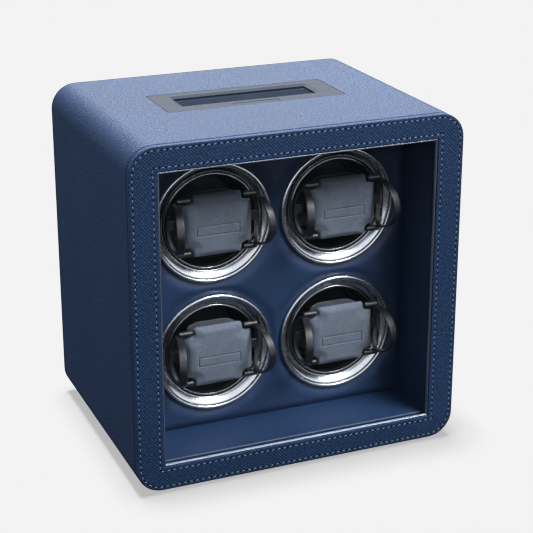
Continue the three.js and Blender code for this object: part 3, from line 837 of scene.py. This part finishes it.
def compartment_liner():
    lo, hi = LINER
    x, z0, z1 = WINDOW_X, WINDOW_Z0 + 2 * MM, WINDOW_Z1
    wall, turn, soft = 2.5 * MM, 1.2 * MM, 1.4 * MM
    y0, y1 = lo.y, hi.y
    section = rolled(turn, y0)
    section += [(0, y0 + 3 * MM), (0, y1 - 8 * MM), (0, y1), (wall, y1), (wall, y0 + 2 * MM)]
    rings = [[(u, y, v) for u, v in rounded_rectangle(x + out, z0 - out, z1 + out, soft + out)]
             for out, y in section]
    flange = rounded_rectangle(hi.x, lo.z, hi.z, 10.7 * MM)
    rings += [[(u, y, v) for u, v in flange] for y in (y0 + 2 * MM, y0)]
    liner = tidy(skin("lined_compartment", rings))
    dress(smooth(liner), "cabinet", "lining_leather", "lining", "compartment_liner")


def cup_panel(sizes):
    """The lined board behind the rings, crowned a little where the lining spans free."""
    lo, hi = PANEL
    crown = sizes.panel_crown
    centres = [cup_axis(place) for place in PLACES]
    columns, rows = 118, 120
    ring_slope, wall_slope = 11 * MM, 7 * MM

    def lift(x, z):
        """Full height away from every ring and wall, and none at them."""
        nearest = min(math.hypot(x - c.x, z - c.z) for c in centres)
        from_ring = min(1.0, max(0.0, (nearest - RING_RADIUS) / ring_slope))
        border = min(x - lo.x, hi.x - x, z - lo.z, hi.z - z)
        from_wall = min(1.0, max(0.0, border / wall_slope))
        return crown * math.sin(math.pi / 2 * from_ring) * math.sin(math.pi / 2 * from_wall)

    mesh = bpy.data.meshes.new("lined_panel")
    shape = bmesh.new()

    def knot(i, j):
        x = lo.x + (hi.x - lo.x) * i / columns
        z = lo.z + (hi.z - lo.z) * j / rows
        return shape.verts.new((x, lo.y - lift(x, z), z))

    front = [[knot(i, j) for i in range(columns + 1)] for j in range(rows + 1)]
    for j in range(rows):
        for i in range(columns):
            shape.faces.new((front[j][i], front[j][i + 1], front[j + 1][i + 1], front[j + 1][i]))
    rim = front[0][:columns] + [row[columns] for row in front[:rows]]
    rim += front[rows][:0:-1] + [row[0] for row in front[:0:-1]]
    rear = [shape.verts.new((v.co.x, hi.y, v.co.z)) for v in rim]
    for k, vert in enumerate(rim):
        after = (k + 1) % len(rim)
        shape.faces.new((vert, rear[k], rear[after], rim[after]))
    shape.faces.new(rear)
    bmesh.ops.recalc_face_normals(shape, faces=shape.faces)
    shape.to_mesh(mesh)
    shape.free()
    panel = new_object("lined_panel", mesh)
    carve(panel, *[extruded("hole", circle(c, PANEL_HOLE, 96), lo.y - 5 * MM, hi.y + 1 * MM, "y")
                   for c in centres])
    dress(smooth(panel), "cabinet", "lining_leather", "lining", "cup_panel")


# ---------------------------------------------------------------- door
def door_frame(sizes):
    half = 2.4 * MM
    turn_front = 0.9 * MM
    roll, deep = 0.9 * MM, 0.3 * MM
    groove = ((-1.1, 0.0), (-0.55, 0.12), (-0.3, 0.75), (0.0, 1.0), (0.3, 0.75), (0.55, 0.12),
              (1.1, 0.0))
    rings, flat, edge = [], [], []

    def outer(inset, y, laid, rub=0.0):
        rings.append(profile_ring(inset, y))
        flat.append([(x, z) for x, _, z in profile_ring(laid, y)])
        edge.append(rub)

    def inner(out, y, laid=None, rub=0.0):
        points = rounded_rectangle(WINDOW_X + out, WINDOW_Z0 - out, WINDOW_Z1 + out,
                                   0.5 * MM + 0.1 * out)
        rings.append([(x, y, z) for x, z in points])
        laid = out if laid is None else laid
        flat.append(rounded_rectangle(WINDOW_X + laid, WINDOW_Z0 - laid, WINDOW_Z1 + laid,
                                      0.5 * MM))
        edge.append(rub)

    # From the back, round the outside of the edge and over the front towards the window.
    for turn in map(math.radians, QUARTER):
        outer(half - half * math.sin(turn), DOOR_BACK - half + half * math.cos(turn),
              -3 * MM - half * (math.pi / 2 - turn))
    # The middle of the front turn carries the painted edge highlight.
    for angle in QUARTER:
        turn = math.radians(angle)
        outer(turn_front - turn_front * math.cos(turn),
              FRONT + turn_front - turn_front * math.sin(turn),
              -turn_front * (1 - turn) + 0.5 * MM, 0.9 if 15 <= angle <= 60 else 0.0)
    for across, share in groove:
        outer(sizes.outer_seam + across * MM, FRONT + deep * share, sizes.outer_seam + across * MM)
    for across, share in groove:
        inner(sizes.inner_seam - across * MM, FRONT + deep * share)
    # The middle of the window's roll carries the painted edge highlight too.
    for angle in QUARTER:
        turn = math.radians(angle)
        inner(roll - roll * math.sin(turn), FRONT + roll - roll * math.cos(turn),
              roll * (1 - turn), 0.8 if 15 <= angle <= 60 else 0.0)
    inner(0, FRONT + 2.9 * MM, -2.5 * MM)
    inner(REBATE, FRONT + 2.9 * MM)
    inner(REBATE, DOOR_BACK)
    door = tidy(skin("wrapped_door", rings, flat=flat, edge=edge))
    cutters = [extruded("strike_seat", circle(middle(CATCH), STRIKE_SEAT), FRONT + 4.2 * MM,
                        DOOR_BACK + 1 * MM, "y")]
    for pin in HINGES:
        at = middle(pin)
        cutters.append(block(at.x - 3.35 * MM, SIDE + 1 * MM, FRONT + 0.8 * MM,
                             DOOR_BACK + 1 * MM, at.z - 12.6 * MM, at.z + 12.6 * MM))
    carve(door, *cutters)
    dress(smooth(door), "door", "wrap_leather", "wrap", "door_frame")


def glass_bead():
    """A double-rounded trim between the leather and the glass."""
    front, back = BEAD[0].y, BEAD[1].y
    section = [(0.3 * MM, back)]
    for radius, start, crest, step in ((0.42 * MM, 0.3 * MM, front + 0.42 * MM, 22),
                                       (0.23 * MM, 1.14 * MM, front + 0.95 * MM, 30)):
        section += [(start + radius - radius * c, crest - radius * s)
                    for c, s in map(unit, range(0, 181, step))]
    section.append((1.6 * MM, back))
    rings = [[(x, y, z) for x, z in rounded_rectangle(
        WINDOW_X - inset, WINDOW_Z0 + inset, WINDOW_Z1 - inset, 0.6 * MM)] for inset, y in section]
    bead = tidy(skin("window_trim", rings))
    dress(smooth(bead, 50), "door", "bezel_grey", "trim", "glass_bead")


def stitching(sizes):
    tree = sewing_tree("Sewing along a line")
    thread = thread_piece(sizes.stitch_length, sizes.thread_radius)
    hole = hole_piece(0.95 * MM)
    outer = rounded_rectangle(
        SIDE - sizes.outer_seam, BASE + sizes.outer_seam, TOP - sizes.outer_seam,
        CORNER_RADIUS - sizes.outer_seam)
    out = sizes.inner_seam
    inner = rounded_rectangle(WINDOW_X + out, WINDOW_Z0 - out, WINDOW_Z1 + out, 0.5 * MM)
    for label, line in (("outer", outer), ("inner", inner)):
        for name, sunk, values in (
                ("stitches", 0.25 * MM, {"Piece": thread, "Lean": math.radians(9),
                                         "Finish": finish("thread")}),
                ("needle_holes", 0.02 * MM, {"Piece": hole, "Along": sizes.stitch_pitch / 2,
                                             "Finish": finish("hole")})):
            sewn = sew(f"{name}_{label}", [(x, FRONT + sunk, z) for x, z in line], tree,
                       {"Pitch": sizes.stitch_pitch, **values})
            dress(sewn, "door", "wrap_leather", [])
    for piece in (thread, hole):
        bpy.data.objects.remove(piece)


# ---------------------------------------------------------------- cups
def at_each_cup(piece, name):
    """Copies of a finished piece that was made at the first cup: a (place, copy) for each cup."""
    start = cup_axis(FIRST)
    spread = []
    for place in PLACES:
        shift = cup_axis(place) - start
        mesh = piece.data.copy()
        mesh.transform(Matrix.Translation((shift.x, 0, shift.z)))
        spread.append((place, new_object(f"{name}_{place}", mesh)))
    bpy.data.objects.remove(piece)
    return spread


def copies(piece, name, nodes, body, slot, finishes):
    """Places a finished piece at every cup."""
    for place, one in at_each_cup(piece, name):
        dress(one, body if body == "cabinet" else f"{body}_{place}", slot, finishes,
              *[f"{node}_{place}" for node in nodes])


def ahead(profile):
    """Profile points given as millimetres of radius and of distance ahead of the panel."""
    return [(radius * MM, PANEL_FRONT - distance * MM) for radius, distance in profile]


def bezel_rings():
    bead = arc(48.95, 2.55, 1.55, 0, 165, 10)
    band = [(47.1, 2.35), (46.6, 2.3), (45.6, 1.75), (44.4, 0.85), (43.2, -0.15), (42.3, -1.0)]
    lip = arc(42.1, -1.9, 0.9, 75, 180, 6)
    profile = [(50.5, 0.3)] + bead + band + lip + [(41.2, -4.6), (43.6, -4.6), (45.9, 0.3)]
    ring = turned("ring", ahead(profile), cup_axis(FIRST), segments=160)
    smooth(ring, 30)
    copies(ring, "chrome_ring", ["bezel_ring"], "cabinet", "chrome", "chrome")


def cup_lips():
    profile = [(38.3, -4.7), (38.3, -2.4)] + arc(39.45, -2.55, 1.15, 165, 15, 10) + [(40.6, -4.7)]
    lip = turned("lip", ahead(profile), cup_axis(FIRST), segments=128)
    smooth(lip, 40)
    copies(lip, "cup_lip_ring", ["cup_lip"], "cup", "chrome", "smoked")


def bowls():
    centre = cup_axis(FIRST)
    inside = [(0, -34), (30.1, -34)] + arc(30.1, -32.6, 1.4, -90, -8, 5)
    inside += [(33.2, -28.5), (33.9, -28.2), (34.2, -27.4), (35.6, -22), (36.4, -16), (36.9, -15.6),
               (37.1, -15), (37.7, -7)]
    rim = arc(39.0, -6.2, 1.2, 170, 10, 8)
    outside = [(40.1, -8), (37.8, -25.5), (32.6, -36.2), (31.6, -37), (8, -37), (8, -42), (3, -42),
               (3, -56), (0, -56)]
    cup = turned("bowl", ahead(inside + rim + outside), centre, segments=128)
    outer, bore = 11.1 * MM, 8.5 * MM
    near, far = PANEL_FRONT + 19 * MM, PANEL_FRONT + 34 * MM
    socket = block(centre.x - outer, centre.x + outer, near, far + 1 * MM, centre.z - outer,
                   centre.z + outer, 1.0 * MM)
    hollow = block(centre.x - bore, centre.x + bore, near - 1 * MM, far - 0.5 * MM,
                   centre.z - bore, centre.z + bore)
    carve(socket, hollow)
    carve(cup, socket, operation="UNION")
    smooth(cup, 35)
    copies(cup, "turning_bowl", ["cup_bowl"], "cup", "bowl_black", "bowl_black")


# ---------------------------------------------------------------- cuffs
SIM_SCALE = 10  # the pads are puffed at ten times their size, where the cloth settings behave
SIM_FRAMES = 20
PAD_PRESSURE = 4.0


def puffed(piece, voxel, cap, pinned):
    """Fills a pad: remeshed, blown up under pressure, kept within the cap, and refined once.

    voxel and cap are in the units of the enlarged pad."""
    piece.data.transform(Matrix.Scale(SIM_SCALE, 4))
    remesh = piece.modifiers.new("remesh", "REMESH")
    remesh.mode = "VOXEL"
    remesh.voxel_size = voxel
    settle(piece)
    rest = [vert.co.copy() for vert in piece.data.vertices]
    held = piece.vertex_groups.new(name="held")
    held.add([vert.index for vert in piece.data.vertices if pinned(vert.co / SIM_SCALE)], 1.0,
             "REPLACE")
    cloth = piece.modifiers.new("cloth", "CLOTH")
    cloth.settings.use_pressure = True
    cloth.settings.uniform_pressure_force = PAD_PRESSURE
    cloth.settings.effector_weights.gravity = 0
    cloth.settings.vertex_group_mass = "held"
    cloth.point_cache.frame_start = 1
    cloth.point_cache.frame_end = SIM_FRAMES
    for step in range(1, SIM_FRAMES + 1):
        bpy.context.scene.frame_set(step)
    settle(piece)
    for vert, start in zip(piece.data.vertices, rest):
        move = vert.co - start
        if move.length > cap:
            vert.co = start + move.normalized() * cap
    bpy.context.scene.frame_set(1)
    piece.vertex_groups.clear()
    finer = piece.modifiers.new("finer", "SUBSURF")
    finer.levels = finer.render_levels = 1
    settle(piece)
    piece.data.transform(Matrix.Scale(1 / SIM_SCALE, 4))


def stepped_outline(x, z, step_x, step_z, round_in, round_out):
    """A rectangle with a rounded step taken out of each corner, about the origin."""
    points = []
    for quarter in range(4):
        sx, sz = ((1, -1), (1, 1), (-1, 1), (-1, -1))[quarter]
        run = [*arc(x - round_out, step_z - round_out, round_out, 0, 90, 4),
               *reversed(arc(step_x + round_in, step_z + round_in, round_in, 180, 270, 5)),
               *arc(step_x - round_out, z - round_out, round_out, 0, 90, 4)]
        run = [(sx * u, sz * v) for u, v in run]
        if sx * sz < 0:
            run.reverse()
        points += run
    return points


def pad_slab(name, outline, y0, y1, centre):
    """A pad before it is filled: its outline in thin layers, drawn in towards both faces."""
    rings = []
    half = (y1 - y0) / 2
    for angle in range(-90, 91, 20):
        turn = math.radians(angle)
        inset = half * (1 - math.cos(turn)) * 0.9
        ring = []
        for u, v in outline:
            keep = 1 - inset / math.hypot(u, v)
            ring.append((centre.x + u * keep, y0 + half + half * math.sin(turn),
                         centre.z + v * keep))
        rings.append(ring)
    return tidy(skin(name, rings, closed=False))


def front_pads(sizes):
    lo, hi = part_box(f"cuff_front_pad_{FIRST}")
    centre = middle((lo, hi))
    half_x, half_z = (hi.x - lo.x) / 2, (hi.z - lo.z) / 2
    outline = stepped_outline(half_x - PAD_EASE, half_z - PAD_EASE, 21 * MM, 18 * MM, 3.4 * MM,
                              2.4 * MM)
    piece = pad_slab("front_pad", outline, lo.y + 1.1 * MM, hi.y - 0.3 * MM, centre)
    back = hi.y - 2.0 * MM
    puffed(piece, 13 * MM, 14 * MM, lambda spot: spot.y > back)
    flat_half, bend, crown, thin = 19 * MM, 42.0, 0.9 * MM, 1.6 * MM
    for vert in piece.data.vertices:
        # The ends curve back past the flat middle, and the face is crowned from top to bottom.
        over = max(0.0, abs(vert.co.x - centre.x) - flat_half)
        across = (vert.co.z - centre.z) / half_z
        fall = bend * over * over + crown * across * across
        depth = max(0.0, hi.y - thin - vert.co.y) / (hi.y - lo.y)
        vert.co.y += min(fall * min(1.0, depth * 1.4), hi.y - 0.3 * MM - vert.co.y)
    emboss(piece, centre, sizes.emboss_depth)
    finished_pads(piece, "front_pad", "pad", "cloth")


def finished_pads(piece, name, body, cover):
    smooth(piece, 60)
    for place, one in at_each_cup(piece, name):
        dress(one, f"{body}_{place}", "suede", cover, f"cuff_{name}_{place}")


def emboss(piece, centre, depth):
    """Presses a plain rectangular outline into the pad's face."""
    half_x, half_z, drop, width = 18 * MM, 3.8 * MM, 3.6 * MM, 0.7 * MM

    def distance(x, z):
        dx = abs(x - centre.x) - half_x
        dz = abs(z - centre.z + drop) - half_z
        outside = math.hypot(max(dx, 0), max(dz, 0))
        return abs(outside + min(max(dx, dz), 0))

    shape = bmesh.new()
    shape.from_mesh(piece.data)
    # The face gets finer near the line, in two rounds.
    for reach in (1.6 * MM, 1.0 * MM):
        near = {edge for face in shape.faces if face.normal.y < -0.5
                and distance(face.calc_center_median().x, face.calc_center_median().z) < reach
                for edge in face.edges}
        bmesh.ops.subdivide_edges(shape, edges=list(near), cuts=1, use_grid_fill=True)
    shape.normal_update()
    for vert in shape.verts:
        if vert.normal.y < -0.5:
            share = 1 - min(1.0, distance(vert.co.x, vert.co.z) / width)
            vert.co.y += depth * share * share * (3 - 2 * share)
    shape.to_mesh(piece.data)
    shape.free()


def rear_pads():
    lo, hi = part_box(f"cuff_rear_pad_{FIRST}")
    centre = middle((lo, hi))
    y0, y1 = lo.y, lo.y + 12 * MM
    outline = [(u, v - centre.z) for u, v in rounded_rectangle(
        25.2 * MM, lo.z + PAD_EASE, hi.z - PAD_EASE, 14.2 * MM, per_side=4, per_corner=8)]
    piece = pad_slab("rear_pad", outline, y0 + PAD_EASE, y1 - PAD_EASE, centre)
    puffed(piece, 16 * MM, 12 * MM, lambda spot: spot.y > y1 - 2 * MM)
    # The rear pads take the cloth with painted shade.
    finished_pads(piece, "rear_pad", "cuff", "dark_cloth")
    axis = cup_axis(FIRST)
    half = 8 * MM
    peg = block(axis.x - half, axis.x + half, y1 - 2 * MM, hi.y, axis.z - half, axis.z + half,
                1.2 * MM)
    copies(smooth(peg), "cuff_peg", [], "cuff", "spring_black", "spring_black")


def strap(name, anchor, outward, reach, half_height, width, thickness):
    """A springy strip bowed from its lower to its upper end, with rounded edges."""
    direction = Vector((outward[0], outward[1], 0)).normalized()
    up = Vector((0, 0, 1))
    sideways = up.cross(direction)
    steps = 40
    rings = []
    for step in range(steps + 1):
        c, s = unit(180 * (step / steps - 0.5))
        here = anchor + direction * reach * c + up * half_height * s
        normal = (direction * half_height * c + up * reach * s).normalized()
        broad = width * (0.86 + 0.14 * c) / 2
        rings.append([here + sideways * u + normal * v for u, v in rounded_rectangle(
            broad, -thickness / 2, thickness / 2, thickness * 0.42, per_corner=4, per_side=2)])
    return tidy(skin(name, rings, closed=False))


def side_springs():
    """Two straps hung between an upper and a lower barrel, and a tab to the rear pad."""
    axis = cup_axis(FIRST)
    half_height, thin = 20 * MM, 1.6 * MM
    radius, round_off, barrel_up = 2.3 * MM, 0.6 * MM, 22 * MM
    pad_y = middle(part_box(f"cuff_front_pad_{FIRST}")).y
    for side, label in ((-1, "left"), (1, "right")):
        anchor = Vector((axis.x + side * 33 * MM, pad_y, axis.z + 2 * MM))
        front = strap("front_strap", anchor, (side * 5.3, -23.4), 24 * MM, half_height, 6.5 * MM,
                      thin)
        others = [strap("rear_strap", anchor, (side * 5, 10.9), 10.4 * MM, half_height, 4 * MM,
                        thin)]
        start, end = sorted((axis.x + side * 22 * MM, anchor.x + side * 1 * MM))
        barrel = [(0, start), (radius - round_off, start), (radius, start + round_off),
                  (radius, end - round_off), (radius - round_off, end), (0, end)]
        for up in (-barrel_up, barrel_up):
            at = Vector((0, anchor.y, anchor.z + up))
            others.append(turned("barrel", barrel, at, axis="x", segments=32))
        tab = sorted((axis.x + side * 26.3 * MM, axis.x + side * 38 * MM))
        others.append(block(*tab, anchor.y + 8.4 * MM, anchor.y + 10.6 * MM, anchor.z - 4 * MM,
                            anchor.z + 4 * MM, 0.5 * MM))
        carve(front, *others, operation="UNION")
        copies(smooth(front, 40), f"side_spring_{label}", [f"cuff_spring_{label}"], "cuff",
               "spring_black", "spring_black")


# ---------------------------------------------------------------- display
def display_surround():
    lo, hi = BEZEL
    window_x, y0, y1 = 59 * MM, middle(PANE).y - 15.25 * MM, middle(PANE).y + 14.75 * MM
    slope_side, slope_front = 3.6 * MM, 0.8 * MM
    ease = 0.45 * MM
    top, bottom = hi.z, lo.z
    corner = 1.2 * MM

    def rect(x, low, high, radius, z):
        return [(u, v, z) for u, v in rounded_rectangle(x, low, high, radius)]

    rings = [rect(hi.x, lo.y, hi.y, corner, bottom), rect(hi.x, lo.y, hi.y, corner, top - ease)]
    for c, s in map(unit, EASE_STEPS):
        inset = ease * (1 - c)
        rings.append(rect(hi.x - inset, lo.y + inset, hi.y - inset, corner, top - ease * (1 - s)))
    rings += [
        rect(window_x + slope_side, y0 - slope_front, y1 + slope_side, 0.8 * MM, top),
        rect(window_x + slope_side - 0.2 * MM, y0 - slope_front + 0.1 * MM,
             y1 + slope_side - 0.2 * MM, 0.8 * MM, top - 0.06 * MM),
        rect(window_x, y0, y1, 0.5 * MM, top - 1.5 * MM),
        rect(window_x, y0, y1, 0.5 * MM, bottom),
    ]
    surround = tidy(skin("display_surround", rings))
    button_lo, button_hi = BUTTON
    radius = (button_hi.y - button_lo.y) / 2 + FIT
    slot = extruded("slot", rounded_rectangle(button_hi.x + FIT, button_lo.y - FIT,
                                              button_hi.y + FIT, radius),
                    bottom - 1 * MM, top + 1 * MM, "z")
    carve(surround, slot)
    dress(smooth(surround, 30), "cabinet", "bezel_grey", "bezel", "display_bezel")


def mode_button():
    lo, hi = BUTTON
    radius = (hi.y - lo.y) / 2
    ease = 0.5 * MM

    def pill(inset, z):
        return [(u, v, z) for u, v in rounded_rectangle(
            hi.x - inset, lo.y + inset, hi.y - inset, radius - inset)]

    rings = [pill(0, lo.z), pill(0, hi.z - ease)]
    for c, s in map(unit, EASE_STEPS):
        rings.append(pill(ease * (1 - c), hi.z - ease * (1 - s)))
    button = tidy(skin("pill_button", rings, closed=False))
    dress(smooth(button, 30), "mode_button", "bezel_grey", "bezel", "mode_button")


# ---------------------------------------------------------------- rear and underside
def cover_screws():
    """Pan-head screws with a cross recess."""
    head, shank, slot, sliver = 3 * MM, 1.5 * MM, 1.7 * MM, 0.35 * MM
    for side in ("left", "right"):
        lo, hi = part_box(f"cover_screw_{side}")
        at = middle((lo, hi))
        top = hi.y
        under = top - 1.4 * MM
        profile = [(0, lo.y), (1.0 * MM, lo.y + 1.2 * MM), (shank, lo.y + 2 * MM), (shank, under),
                   (head, under)]
        profile += [(head * c ** 0.7, top - 1.0 * MM + 1.0 * MM * s)
                    for c, s in map(unit, (0, 20, 40, 60, 80))]
        screw = turned("screw", profile + [(0, top)], at, segments=40)
        screw.name = f"pan_screw_{side}"
        carve(screw, *[block(at.x - x, at.x + x, top - 0.8 * MM, top + 1 * MM, at.z - z, at.z + z)
                       for x, z in ((slot, sliver), (sliver, slot))])
        dress(smooth(screw, 35), "cabinet", "steel", "steel", f"cover_screw_{side}")


def feet():
    ease = 1.2 * MM
    for end in ("front", "rear"):
        for side in ("left", "right"):
            name = f"foot_{end}_{side}"
            lo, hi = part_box(name)
            at = middle((lo, hi))
            radius = (hi.x - lo.x) / 2
            hollow = lo.z + 0.5 * MM
            profile = [(0, hollow), (radius * 0.55, hollow), (radius * 0.62, lo.z),
                       (radius - ease, lo.z)]
            profile += [(radius - ease + ease * s, lo.z + ease - ease * c)
                        for c, s in map(unit, EASE_STEPS)]
            profile += [(radius, hi.z), (0, hi.z)]
            foot = turned(f"rubber_{name}", profile, at, axis="z", segments=64)
            dress(smooth(foot, 35), "cabinet", "rubber", "rubber", name)


KEPT_NODES = {
    "steel": ["door_strike", "catch_magnet", "hinge_case_leaf_lower", "hinge_case_leaf_upper",
              "hinge_door_leaf_lower", "hinge_door_leaf_upper", "hinge_pin_lower",
              "hinge_pin_upper", *[f"motor_{place}" for place in PLACES]],
    "fibreboard": ["rear_cover", "motor_plate"],
    "plastic": ["display_module", "power_socket"],
    "board": ["control_board"],
    "screen": ["display_pane"],
    "glass": ["door_glass"],
}


def finish_kept_nodes():
    for name, nodes in KEPT_NODES.items():
        for node in nodes:
            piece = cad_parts[node]
            piece.data.materials.clear()
            piece.data.materials.append(finish(name))


# ---------------------------------------------------------------- stage
def softbox(name, place, target, width, height, strength):
    """A rectangular soft light; strength is its radiance."""
    data = bpy.data.lights.new(name, "AREA")
    data.shape = "RECTANGLE"
    data.size = width
    data.size_y = height
    data.energy = strength * math.pi * width * height
    lamp = bpy.data.objects.new(name, data)
    bpy.context.scene.collection.objects.link(lamp)
    lamp.location = place
    lamp.rotation_euler = (Vector(target) - Vector(place)).to_track_quat("-Z", "Y").to_euler()
    return lamp


def studio_world(seen, mirrored_low, mirrored_high, lighting):
    """A pale backdrop to the camera, a sky that brightens upwards and towards the front in
    reflections, and a dim sky for lighting."""
    world = bpy.data.worlds.new("studio")
    bpy.context.scene.world = world
    world.use_nodes = True
    tree = world.node_tree
    tree.nodes.clear()
    path = add(tree, "ShaderNodeLightPath").outputs
    way = add(tree, "ShaderNodeTexCoord").outputs["Generated"]
    axes = add(tree, "ShaderNodeSeparateXYZ", {0: way}).outputs
    above = ramp(tree, axes[2], 0.42, 0.8)
    in_front = ramp(tree, axes[1], 0.0, -0.5)
    share = calc(tree, "MAXIMUM", above, in_front)
    mirrored = blend_colour(tree, share, mirrored_low, mirrored_high)
    skies = [add(tree, "ShaderNodeBackground", {
        "Color": colour if isinstance(colour, bpy.types.NodeSocket) else (*colour, 1),
        "Strength": 1.0}).outputs[0] for colour in (lighting, mirrored, seen)]
    indoors = add(tree, "ShaderNodeMixShader",
                  {0: path["Is Glossy Ray"], 1: skies[0], 2: skies[1]}).outputs[0]
    whole = add(tree, "ShaderNodeMixShader",
                {0: path["Is Camera Ray"], 1: indoors, 2: skies[2]}).outputs[0]
    add(tree, "ShaderNodeOutputWorld", {"Surface": whole})


def studio_floor(colour):
    """A wide disc that only shows the shadow of what stands on it."""
    ring = [(3 * math.cos(TAU * k / 96), 3 * math.sin(TAU * k / 96), 0) for k in range(96)]
    mesh = bpy.data.meshes.new("studio_floor")
    mesh.from_pydata(ring, [], [list(range(96))])
    floor = new_object("studio_floor", mesh)
    material, tree, shader, where = new_finish(
        "studio_paper", Specular_IOR_Level=0.0, Roughness=1.0)
    tooth = add(tree, "ShaderNodeTexNoise", {"Vector": where, "Scale": 300.0})
    tone = blend_colour(tree, tooth.outputs[0], toned(colour, 0.99), colour)
    tree.links.new(tone, shader.inputs["Base Color"])
    floor.data.materials.append(material)
    floor.is_shadow_catcher = True
    return floor


def light_floor(lamp, floor, alone):
    """Lets a lamp light the floor alone, or everything but the floor."""
    lit = bpy.data.collections.new(f"{lamp.name}_reach")
    lit.objects.link(floor)
    lit.collection_objects[0].light_linking.link_state = "INCLUDE" if alone else "EXCLUDE"
    lamp.light_linking.receiver_collection = lit


def floor_light(name, floor, energy, casts):
    """Light from almost straight above for the floor alone. One that casts leaves a soft shadow
    under the box, and one that doesn't keeps that shadow pale."""
    data = bpy.data.lights.new(name, "SUN")
    data.energy = energy
    data.angle = math.radians(14)
    data.use_shadow = casts
    lamp = bpy.data.objects.new(name, data)
    bpy.context.scene.collection.objects.link(lamp)
    lamp.rotation_euler = Euler((math.radians(-2), math.radians(-2), 0))
    light_floor(lamp, floor, alone=True)


def studio_camera():
    data = bpy.data.cameras.new("camera")
    data.lens = 100.87
    data.sensor_width = 36
    data.shift_y = -0.06
    data.clip_end = 50
    camera = bpy.data.objects.new("camera", data)
    bpy.context.scene.collection.objects.link(camera)
    camera.location = (-0.4488, -1.1048, 0.5902)
    camera.rotation_euler = Euler((math.radians(90 - 19.542), 0, math.radians(-22.736)))
    bpy.context.scene.camera = camera


def stage():
    scene = bpy.context.scene
    scene.view_settings.view_transform = "Standard"
    studio_world(linear(243, 243, 243), (0.4, 0.41, 0.43), (1.7, 1.72, 1.78), (0.055, 0.058, 0.065))
    floor = studio_floor((0.06, 0.06, 0.06))
    floor_light("floor_shadow_light", floor, 2.8, True)
    floor_light("floor_fill_light", floor, 3.2, False)
    target = (0, -0.05, 0.15)
    lamps = [
        softbox("rear_top_light", (0.7, 1.6, 1.5), target, 1.8, 1.0, 13.0),
        softbox("overhead_light", (0, 0.35, 1.5), (0, 0.1, 0.28), 1.1, 0.7, 10.0),
        softbox("key_light", (0.85, -1.15, 1.75), target, 0.9, 0.9, 31.0),
        softbox("left_light", (-1.5, 0.2, 1.1), (-0.14, 0, 0.15), 0.8, 0.8, 6.5),
        softbox("front_left_light", (-0.8, -0.85, 1.05), target, 0.25, 0.35, 2.0),
    ]
    for lamp in lamps:
        light_floor(lamp, floor, alone=False)
    studio_camera()


# ---------------------------------------------------------------- operators
class WINDER_OT_cabinet(bpy.types.Operator):
    """Make the wrapped shell, its lining and the crowned panel"""

    bl_idname = "winder.cabinet"
    bl_label = "Cabinet"

    def execute(self, context):
        sizes = context.scene.winder_sizes
        outer_shell(sizes)
        screw_bosses()
        compartment_liner()
        cup_panel(sizes)
        return {"FINISHED"}


class WINDER_OT_door(bpy.types.Operator):
    """Make the wrapped door frame and the trim round its glass"""

    bl_idname = "winder.door"
    bl_label = "Door"

    def execute(self, context):
        door_frame(context.scene.winder_sizes)
        glass_bead()
        return {"FINISHED"}


class WINDER_OT_stitching(bpy.types.Operator):
    """Sew both seams of the door"""

    bl_idname = "winder.stitching"
    bl_label = "Stitching"

    def execute(self, context):
        stitching(context.scene.winder_sizes)
        return {"FINISHED"}


class WINDER_OT_cups(bpy.types.Operator):
    """Make the chrome rings, the turning bowls and their lips"""

    bl_idname = "winder.cups"
    bl_label = "Cups"

    def execute(self, context):
        bezel_rings()
        cup_lips()
        bowls()
        return {"FINISHED"}


class WINDER_OT_cuffs(bpy.types.Operator):
    """Make the padded cuffs with their side springs"""

    bl_idname = "winder.cuffs"
    bl_label = "Cuffs"

    def execute(self, context):
        sizes = context.scene.winder_sizes
        front_pads(sizes)
        rear_pads()
        side_springs()
        return {"FINISHED"}


class WINDER_OT_display(bpy.types.Operator):
    """Make the display surround and the mode button"""

    bl_idname = "winder.display"
    bl_label = "Display"

    def execute(self, context):
        display_surround()
        mode_button()
        return {"FINISHED"}


class WINDER_OT_hardware(bpy.types.Operator):
    """Make the screws and feet, and finish the pieces that keep their shape"""

    bl_idname = "winder.hardware"
    bl_label = "Hardware"

    def execute(self, context):
        cover_screws()
        feet()
        finish_kept_nodes()
        return {"FINISHED"}


class WINDER_OT_stage(bpy.types.Operator):
    """Set up the floor, the lights and the camera"""

    bl_idname = "winder.stage"
    bl_label = "Stage"

    def execute(self, context):
        stage()
        return {"FINISHED"}


class WINDER_PT_panel(bpy.types.Panel):
    """Sizes, colours and the steps that build the winder"""

    bl_idname = "WINDER_PT_panel"
    bl_label = "Watch Winder Box"
    bl_space_type = "VIEW_3D"
    bl_region_type = "UI"
    bl_category = "Winder"

    def draw(self, context):
        layout = self.layout
        for settings in (context.scene.winder_sizes, context.scene.winder_colours):
            box = layout.box()
            for name in settings.__annotations__:
                box.prop(settings, name)
        for step in STEPS:
            layout.operator(step.bl_idname)


STEPS = (WINDER_OT_cabinet, WINDER_OT_door, WINDER_OT_stitching, WINDER_OT_cups, WINDER_OT_cuffs,
         WINDER_OT_display, WINDER_OT_hardware, WINDER_OT_stage)
CLASSES = (WinderSizes, WinderColours, *STEPS, WINDER_PT_panel)


def register():
    for cls in CLASSES:
        bpy.utils.register_class(cls)
    bpy.types.Scene.winder_sizes = PointerProperty(type=WinderSizes)
    bpy.types.Scene.winder_colours = PointerProperty(type=WinderColours)


def unregister():
    del bpy.types.Scene.winder_colours
    del bpy.types.Scene.winder_sizes
    for cls in reversed(CLASSES):
        bpy.utils.unregister_class(cls)


def main():
    register()
    bpy.ops.winder.cabinet()
    bpy.ops.winder.door()
    bpy.ops.winder.stitching()
    bpy.ops.winder.cups()
    bpy.ops.winder.cuffs()
    bpy.ops.winder.display()
    bpy.ops.winder.hardware()
    bpy.ops.winder.stage()


if __name__ == "__main__":
    main()
